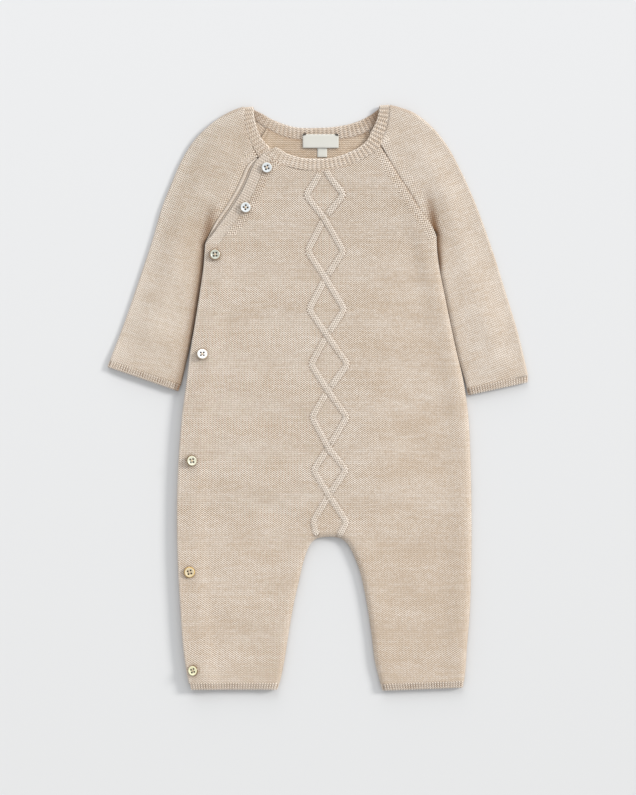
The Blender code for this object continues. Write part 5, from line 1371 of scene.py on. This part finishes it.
def build_band():
    """The cross-ribbed band on the front's raglan edge."""
    n = 210
    rows = OPENING_CURVE.line(n)
    f = np.linspace(0, 1, n)
    e, i = rows[:, 2:4].copy(), rows[:, 4:6].copy()
    e[0] += (0, -0.35)
    i[0] += (0, -0.35)
    e[-1], i[-1] = (-47.1, 212.5), (-40.8, 208.3)
    w = i - e
    width = np.linalg.norm(w, axis=1)
    w = w / width[:, None]
    i = i + w * 0.25
    cross = np.array([0.0, 0.02, 0.05, 0.09, 0.14, 0.20, 0.28, 0.38, 0.50, 0.62, 0.74, 0.85, 0.93, 1.02])
    k = len(cross)
    top = e[:, None, :] + w[:, None, :] * (cross[None, :] * width[:, None])[..., None]
    pts = top.reshape(-1, 2)
    zu = front_height(pts)[0].reshape(n, k)
    seg = nearest(BAND_INNER, i)[4]
    fade = smooth((f - 0.10) / 0.25)                 # the ribs run out at the underarm
    pitch = BAND_PITCH
    rib = 0.5 + 0.5 * np.cos(2 * math.pi * seg / pitch)
    win = smooth((cross - 0.03) / 0.12)
    d_neck = nearest(NECK_SEAM, pts)[0].reshape(n, k)
    zu = zu + (rib[:, None] - 0.5) * 0.38 * win[None, :] * fade[:, None]
    zu -= 0.3 * bell(d_neck, 0.9)
    z_low = LAYER2 + LOFT + OVER_STAND + 0.05
    rings = np.empty((n, k + 3, 3))
    rings[:, :k, :2], rings[:, :k, 2] = top, zu
    rings[:, k, :2], rings[:, k, 2] = i, z_low
    rings[:, k + 1, :2], rings[:, k + 1, 2] = (e + i) / 2, z_low
    rings[:, k + 2, :2], rings[:, k + 2, 2] = e + w * 0.9, z_low
    flat = rings[..., :2].reshape(-1, 2)
    cr = np.concatenate([cross, [1.0, 0.5, 0.1]])
    below = 0.5 + (0.20 + 0.10 * cr[None, :] - f[:, None]) * 40
    knit = stitched(flat, 0.0, 0.0, 0.0).reshape(n, k + 3, 9)
    body = knit[..., 0:2].copy()
    knit[..., 0] = (seg / pitch + 0.5)[:, None] + 40
    knit[..., 1] = cr[None, :] * width[:, None] / COURSE
    knit[..., 3:5] = body                            # below, the front's own stitches
    knit[..., 5] = np.clip(below, -2, 3)
    knit[..., 2] = 1.0 - 0.25 * fade[:, None]
    # painted light: the band is painted paler, most where its ribs show; painted shade in its rib gaps
    knit[..., 6] = 1.60 + 0.60 * fade[:, None] * (1 - cr)[None, :]
    knit[:, :k, 7] = 0.20 * (1 - rib[:, None]) * win[None, :] * fade[:, None]
    return tube("opening_band", place(rings[..., 0], rings[..., 1], rings[..., 2]), knit, KNIT_MAT,
                replaces=("front_band",))


def build_welt():
    """The button stand under the raglan opening: a smooth welt shows, a full
    roll with a narrow one beside it."""
    n = 170
    rows = OPENING_CURVE.line(n)
    w0, h, e = rows[:, 0:2].copy(), rows[:, 6:8].copy(), rows[:, 2:4]
    w0[-1], h[-1] = (-53.4, 209.6), (-48.0, 202.8)
    w = h - w0
    length = np.linalg.norm(w, axis=1)
    w = w / length[:, None]
    show = ((e - w0) * w).sum(1)
    rise = np.clip((show - 0.8) / 3.0, 0.0, 1.0)
    show = np.clip(show, 1.5, 5.4)
    z = LAYER2
    f = np.array([-0.14, -0.04, 0.05, 0.15, 0.27, 0.39, 0.50, 0.59, 0.65, 0.70, 0.76, 0.84, 0.92, 1.0, 1.06])
    big = np.sqrt(np.clip(1 - ((f - 0.30) / 0.36) ** 2, 0, 1))
    small = 0.92 * np.sqrt(np.clip(1 - ((f - 0.84) / 0.17) ** 2, 0, 1))
    shape = np.maximum(big, small)
    seg = np.concatenate([[0.0], np.cumsum(np.linalg.norm(np.diff(w0, axis=0), axis=1))])
    k = len(f)
    rings = np.empty((n, k + 4, 3))
    rings[:, :k, :2] = w0[:, None, :] + w[:, None, :] * (f[None, :] * show[:, None])[..., None]
    rings[:, :k, 2] = z + STAND - 0.25 + (2.05 * rise + 0.1)[:, None] * shape[None, :]
    rings[:, 0, 2] = z + 0.3
    wob = 0.06 * np.cos(2 * math.pi * seg / 1.9) * np.clip(rise, 0, 1)
    rings[:, 2:k - 1, 2] += wob[:, None]
    rings[:, k, :2], rings[:, k, 2] = w0 + w * (show * 1.15)[:, None], z + STAND - 0.3
    rings[:, k + 1, :2], rings[:, k + 1, 2] = h, z + STAND - 0.3
    rings[:, k + 2, :2], rings[:, k + 2, 2] = h, z
    rings[:, k + 3, :2], rings[:, k + 3, 2] = w0, z
    knit = np.zeros(rings.shape[:2] + (9,))
    fx = np.concatenate([f, [1.3, 2.2, 2.2, 0.0]])
    knit[..., 0] = fx[None, :] * show[:, None] / 2.6 + 60.0
    knit[..., 1] = (seg / 1.8)[:, None]
    knit[..., 2] = 0.6
    # painted light: the welt is painted paler, most at its narrow lower end in the front's shadow; painted shade in the
    # lines between its rolls, by the overlap and at its foot, less towards the lower end
    knit[..., 6] = (2.2 - 0.8 * rise)[:, None]
    lines = np.clip(0.55 * bell(fx - 0.655, 0.05) + 0.9 * smooth((fx - 0.93) / 0.10) + 0.35 * bell(fx + 0.08, 0.10), 0, 1)
    knit[..., 7] = lines[None, :] * (0.25 + 0.75 * rise)[:, None]
    return tube("raglan_welt", place(rings[..., 0], rings[..., 1], rings[..., 2]), knit, KNIT_MAT,
                replaces=("raglan_stand",))


def build_side_stand():
    ys = np.arange(-253.4, 132.9, 1.5)
    x = body_x(ys)[0]
    z = LAYER2
    ring = [(0.8, 0.4), (1.0, 0.1), (1.5, 0.0), (7.0, 0.0), (STAND_REACH, 0.0), (STAND_REACH, STAND),
            (7.0, STAND), (1.8, STAND), (1.1, STAND - 0.25), (0.8, STAND - 0.7)]
    rings = np.empty((len(ys), len(ring), 3))
    for k, (dx, dz) in enumerate(ring):
        rings[:, k, 0], rings[:, k, 1], rings[:, k, 2] = x + dx, ys, z + dz
    knit = np.zeros(rings.shape)
    knit[..., 0] = (rings[..., 0] + rings[..., 2]) / WALE + 20
    knit[..., 1] = rings[..., 1] / COURSE + 300
    knit[..., 2] = 1.0
    return tube("side_welt", place(rings[..., 0], rings[..., 1], rings[..., 2]), knit, KNIT_MAT,
                replaces=("side_stand",))


# --------------------------------------------------------- buttons and labels
SHELLS = {
    "white": shell("shell_white", (0.68, 0.71, 0.72), (0.52, 0.56, 0.58), (0.40, 0.33, 0.25)),
    "bright": shell("shell_bright", (0.86, 0.86, 0.85), (0.74, 0.75, 0.76), (0.42, 0.33, 0.22)),
    "grey": shell("shell_grey", (0.52, 0.53, 0.46), (0.38, 0.40, 0.33), (0.30, 0.18, 0.08), 0.10),
    "gold": shell("shell_gold", (0.66, 0.66, 0.54), (0.54, 0.52, 0.38), (0.16, 0.095, 0.018), 0.12),
    # a straw shell painted paler: painted light for the button that leans away from the lamp
    "straw_painted_light": shell("shell_straw_painted_light", (0.95, 0.93, 0.66), (0.90, 0.84, 0.50), (0.13, 0.07, 0.010), 0.12),
    "amber": shell("shell_amber", (0.66, 0.60, 0.47), (0.60, 0.45, 0.20), (0.46, 0.27, 0.03), 0.16),
}
# columns: kind of shell, turn of its holes in degrees
BUTTON_LOOK = [("white", 20), ("white", 40), ("grey", 4), ("bright", 0), ("gold", 8), ("amber", 14), ("straw_painted_light", 18)]


# how much further each button leans on its thread, in degrees about x and y
BUTTON_LEAN = [(-2, 7), (2, 12), (-6, 2), (-15, 3), (-5, 15), (6, 0), (-4, -25)]


def rods(paths, radius, sides, matrix=None):
    """Round rods along paths; returns points, faces and a run length for each point."""
    points, faces, run = [], [], []
    for path in paths:
        path = [Vector(p) for p in path]
        base = len(points)
        length = 0.0
        for j, p in enumerate(path):
            ahead = path[min(j + 1, len(path) - 1)] - path[max(j - 1, 0)]
            ahead.normalize()
            side = ahead.cross(Vector((0, 0, 1)))
            side = side.normalized() if side.length > 0.05 else Vector((1, 0, 0))
            upward = side.cross(ahead)
            if j:
                length += (p - path[j - 1]).length
            for k in range(sides):
                a = 2 * math.pi * k / sides
                q = p + side * (radius * math.cos(a)) + upward * (radius * math.sin(a))
                points.append(tuple(matrix @ q) if matrix else tuple(q))
                run.append((length * 3, 0, 1))
        for j in range(len(path) - 1):
            for k in range(sides):
                k2 = (k + 1) % sides
                r0, r1 = base + j * sides, base + (j + 1) * sides
                faces.append([r0 + k, r0 + k2, r1 + k2, r1 + k])
        faces.append([base + k for k in range(sides)])
        faces.append([base + (len(path) - 1) * sides + k for k in reversed(range(sides))])
    return np.array(points), faces, np.array(run, float)


def build_button(i, x, y, z, tx, ty, look, turn):
    r = 4.75
    prof = [(0.0, 0.0), (r * 0.72, 0.0), (r * 0.86, 0.12), (r * 0.96, 0.45), (r, 0.80), (r * 0.995, 1.05),
            (r * 0.97, 1.35), (r * 0.93, 1.62), (r * 0.885, 1.84), (r * 0.83, 1.97), (r * 0.77, 2.0), (r * 0.71, 1.94),
            (r * 0.65, 1.80), (r * 0.59, 1.67), (r * 0.52, 1.60), (r * 0.38, 1.56), (0.0, 1.55)]
    bm = bmesh.new()
    verts = [bm.verts.new((a, 0, b)) for a, b in prof]
    edges = [bm.edges.new(p) for p in zip(verts, verts[1:])]
    bmesh.ops.spin(bm, geom=verts + edges, cent=(0, 0, 0), axis=(0, 0, 1), angle=2 * math.pi, steps=56, use_merge=True)
    bmesh.ops.remove_doubles(bm, verts=bm.verts[:], dist=0.001)
    bmesh.ops.recalc_face_normals(bm, faces=bm.faces[:])
    blank_mesh = bpy.data.meshes.new("blank")
    bm.to_mesh(blank_mesh)
    bm.free()
    blank = bpy.data.objects.new("blank", blank_mesh)
    bpy.context.scene.collection.objects.link(blank)
    drill = bmesh.new()
    for sx in (-1, 1):
        for sy in (-1, 1):
            bmesh.ops.create_cone(drill, cap_ends=True, segments=20, radius1=0.70, radius2=0.74, depth=6,
                                  matrix=Matrix.Translation((sx * 1.18, sy * 1.18, 1.0)))
    cut_mesh = bpy.data.meshes.new("drill")
    drill.to_mesh(cut_mesh)
    drill.free()
    cutter = bpy.data.objects.new("drill", cut_mesh)
    bpy.context.scene.collection.objects.link(cutter)
    mod = blank.modifiers.new("holes", "BOOLEAN")
    mod.operation, mod.solver, mod.object = "DIFFERENCE", "EXACT", cutter
    graph = bpy.context.evaluated_depsgraph_get()
    mesh = bpy.data.meshes.new_from_object(blank.evaluated_get(graph))
    bpy.data.objects.remove(blank)
    bpy.data.objects.remove(cutter)
    mesh.name = "button_shell_%d" % i
    co = np.empty(len(mesh.vertices) * 3, np.float32)
    mesh.vertices.foreach_get("co", co)
    co = co.reshape(-1, 3)
    # masks for painted shade: a contact shadow round the rim and the dark holes
    rr = np.hypot(co[:, 0], co[:, 1]) / r
    rim = np.clip((rr - 0.76) / 0.20, 0, 1)
    hole = np.zeros(len(co))
    for sx in (-1, 1):
        for sy in (-1, 1):
            d = np.hypot(co[:, 0] - sx * 1.18, co[:, 1] - sy * 1.18)
            hole = np.maximum(hole, smooth((0.98 - d) / 0.12))
    attr = mesh.attributes.new("knit", "FLOAT_VECTOR", "POINT")
    attr.data.foreach_set("vector", np.stack([rim, hole, rim * 0], 1).astype(np.float32).ravel())
    tx, ty = tx + BUTTON_LEAN[i - 1][0], ty + BUTTON_LEAN[i - 1][1]
    lift = 0.80 * r * math.sin(math.radians(math.hypot(tx, ty)))
    spin = Euler((math.radians(tx), math.radians(ty), 0.0)).to_matrix().to_4x4() @ Matrix.Rotation(math.radians(turn), 4, "Z")
    where = place(np.array(x), np.array(y), np.array(z + 0.3 + lift))
    matrix = Matrix.Translation(Vector(where.tolist())) @ spin @ Matrix.Scale(MM, 4)
    mesh.transform(matrix)
    mesh.materials.clear()
    mesh.materials.append(SHELLS[look])
    mesh.shade_smooth()
    mesh.set_sharp_from_angle(angle=math.radians(40))
    obj = bpy.data.objects.new("button_shell_%d" % i, mesh)
    bpy.context.scene.collection.objects.link(obj)
    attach(obj, "root")
    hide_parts("button_%d" % i)
    # thread: two crossing bars of two strands, and a dark plug down each hole, painted shade in the holes
    paths = []
    for bar in (-1, 1):
        for lane in (-0.15, 0.15):
            path = []
            for s in np.linspace(-1, 1, 11):
                hz = 1.68 + 0.20 * (1 - s * s) + (0.12 if bar > 0 else 0.0) - 1.3 * max(0.0, abs(s) - 0.62) / 0.38
                px, py = s * 0.98, s * 0.98 * bar
                path.append((px - lane * 0.7 * bar, py + lane * 0.7, hz))
            paths.append(path)
    foot = matrix.inverted() @ Vector(place(np.array(x), np.array(y), np.array(z - 0.9)).tolist())
    points, faces, run = rods(paths, 0.16, 8, matrix)
    shank, sides, more = rods([[(0.0, 0.0, 0.4), (0.0, 0.0, -0.1), tuple(foot)]], 0.75, 10, matrix)
    sides = [[v + len(points) for v in side] for side in sides]
    points, run = np.vstack([points, shank]), np.vstack([run, more])
    new_piece("button_thread_%d" % i, points, faces + sides, run, THREAD_MAT)
    plugs = [[(sx * 1.18, sy * 1.18, 0.05), (sx * 1.18, sy * 1.18, 0.5), (sx * 1.18, sy * 1.18, 1.15)]
             for sx in (-1, 1) for sy in (-1, 1)]
    points, faces, run = rods(plugs, 0.66, 10, matrix)
    new_piece("button_knots_%d" % i, points, faces, run, TACK_AND_HOLE_SHADE_MAT)


def build_label(name, node, box, bend, mat):
    """A woven label, slightly bowed, its edges rounded down a little."""
    x0, x1, y0, y1, z0, z1 = box
    nx, ny = max(8, int((x1 - x0) / 0.8)), max(8, int((y1 - y0) / 0.8))
    xs, ys = np.linspace(x0, x1, nx), np.linspace(y0, y1, ny)
    gx, gy = np.meshgrid(xs, ys)
    s, t = (gx - x0) / (x1 - x0), (gy - y0) / (y1 - y0)
    wave = bend * (np.sin(math.pi * s) * (1 - t) + 0.25 * np.sin(3.1 * math.pi * s + 0.6) * (1 - t))
    edge = np.minimum(np.minimum(s, 1 - s) * (x1 - x0), np.minimum(t, 1 - t) * (y1 - y0))
    zu = z1 + wave - 0.22 * (1 - round_off(edge / 0.8))
    up = place(gx, gy, zu)
    low = place(gx, gy, zu - (z1 - z0) + 0.1)
    knit = np.stack([gx / 1.0, gy / 1.0, np.ones(gx.shape)], -1)
    return wall(name, up, low, knit, mat, step=(2, 2), replaces=(node,))


def build_tacks():
    """Small dark stitches that hold the label's top corners."""
    points, faces, knit = [], [], []
    top = NECK_LABEL[3]
    for cx, lean in ((NECK_LABEL[0] + 1.6, 1), (NECK_LABEL[1] - 1.6, -1)):
        for j in range(5):
            px = cx + (j - 2) * 0.52
            base = len(points)
            path = []
            for s in np.linspace(-1, 1, 9):
                path.append((px + 0.16 * s * lean, top - 0.15 + 1.05 * s + 0.1 * j * lean, 4.05 + 0.42 * (1 - s * s)))
            for p in path:
                for k in range(6):
                    a = 2 * math.pi * k / 6
                    points.append((p[0] + 0.21 * math.cos(a), p[1], p[2] + 0.21 * math.sin(a)))
                    knit.append((p[1], 0, 1))
            for q in range(len(path) - 1):
                for k in range(6):
                    k2 = (k + 1) % 6
                    faces.append([base + q * 6 + k, base + q * 6 + k2, base + (q + 1) * 6 + k2, base + (q + 1) * 6 + k])
            faces.append([base + k for k in range(6)])
            faces.append([base + (len(path) - 1) * 6 + k for k in reversed(range(6))])
    pts = np.array(points)
    return new_piece("label_tacks", place(pts[:, 0], pts[:, 1], pts[:, 2]), faces, np.array(knit, float), TACK_AND_HOLE_SHADE_MAT)


# ------------------------------------------------------------------ the scene
camera = bpy.data.cameras.new("camera")
camera_obj = bpy.data.objects.new("camera", camera)
bpy.context.scene.collection.objects.link(camera_obj)
DISTANCE = 2.4
camera.sensor_fit = "AUTO"
camera.sensor_width = 36.0
camera.lens = 36.0 * DISTANCE / 0.69165
camera_obj.location = (0.00023, 0.00009, DISTANCE + 0.0065)
camera.clip_start, camera.clip_end = 0.05, 50.0
bpy.context.scene.camera = camera_obj
bpy.context.scene.view_settings.view_transform = "Standard"

floor_t = Nodes("pale_floor")
where = floor_t.split(floor_t.coords())
# painted light: the floor is painted a little brighter towards the top, as the light falls off across it
rise = floor_t.math("ADD", 0.5, floor_t.math("MULTIPLY", where[1], 1.45), clamp=True)
floor_t.link(floor_t.mix(rise, (0.604, 0.607, 0.609), (0.640, 0.644, 0.650)), floor_t.bsdf.inputs["Base Color"])
floor_t.bsdf.inputs["Roughness"].default_value = 0.85
floor_t.bsdf.inputs["Specular IOR Level"].default_value = 0.1
floor_mesh = bpy.data.meshes.new("floor")
floor_mesh.from_pydata([(-4, -4, 0), (4, -4, 0), (4, 4, 0), (-4, 4, 0)], [], [(0, 1, 2, 3)])
floor_mesh.materials.append(floor_t.mat)
floor = bpy.data.objects.new("floor", floor_mesh)
floor.location.z = -0.0001
bpy.context.scene.collection.objects.link(floor)

world = bpy.data.worlds.new("studio")
world.use_nodes = True
world.node_tree.nodes["Background"].inputs[0].default_value = (0.975, 0.985, 1.0, 1.0)
world.node_tree.nodes["Background"].inputs[1].default_value = 0.79
bpy.context.scene.world = world
key = bpy.data.lights.new("key", "SUN")
key.energy = 2.50
key.angle = math.radians(15)
key.color = (1.0, 0.985, 0.955)
key_obj = bpy.data.objects.new("key", key)
toward = Vector((0.812, 0.344, 0.469)).normalized()
key_obj.rotation_euler = toward.to_track_quat("Z", "Y").to_euler()
bpy.context.scene.collection.objects.link(key_obj)
wide = bpy.data.lights.new("wide", "SUN")
wide.energy = 1.40
wide.angle = math.radians(50)
wide.color = (0.985, 0.99, 1.0)
wide_obj = bpy.data.objects.new("wide", wide)
toward = Vector((-0.10, 0.88, 0.42)).normalized()
wide_obj.rotation_euler = toward.to_track_quat("Z", "Y").to_euler()
bpy.context.scene.collection.objects.link(wide_obj)

# --------------------------------------------------------------- build pieces
front = build_front()
back = build_back()
sleeve_open = build_sleeve("sleeve_opening_knit", "sleeve_opening_side", SLEEVE_OPEN, np.array(GROOVE_OPEN), -1, 8.5, SLEEVE_MAT)
sleeve_shut = build_sleeve("sleeve_closed_knit", "sleeve_closed_side", SLEEVE_SHUT, np.array(GROOVE_SHUT), 1, 3.5, SHUT_MAT)
neck = build_neckband()
band = build_band()
welt = build_welt()
side_welt = build_side_stand()
cuff_open = ring_strip("cuff_opening", "cuff_opening_side", CUFF_OPEN, 5.6, CUFF_OPEN[0][0:2], 0.75)
cuff_shut = ring_strip("cuff_closed", "cuff_closed_side", CUFF_SHUT, 5.6, CUFF_SHUT[0][0:2], 0.35)
hem_open = build_hem_open()
hem_shut = ring_strip("hem_closed", "hem_closed_side", [(b[2], b[3], b[0], b[1]) for b in HEM_SHUT], LAYER2 + LOFT + RIB + 0.3)
for i, row in enumerate(BUTTONS, 1):
    build_button(i, *row, *BUTTON_LOOK[i - 1])
label = build_label("neck_label_tape", "neck_label", NECK_LABEL, 0.35, TAPE_MAT)
tag = build_label("size_tag_tape", "size_tag", SIZE_TAG, 0.2, TAPE_MAT)
tacks = build_tacks()
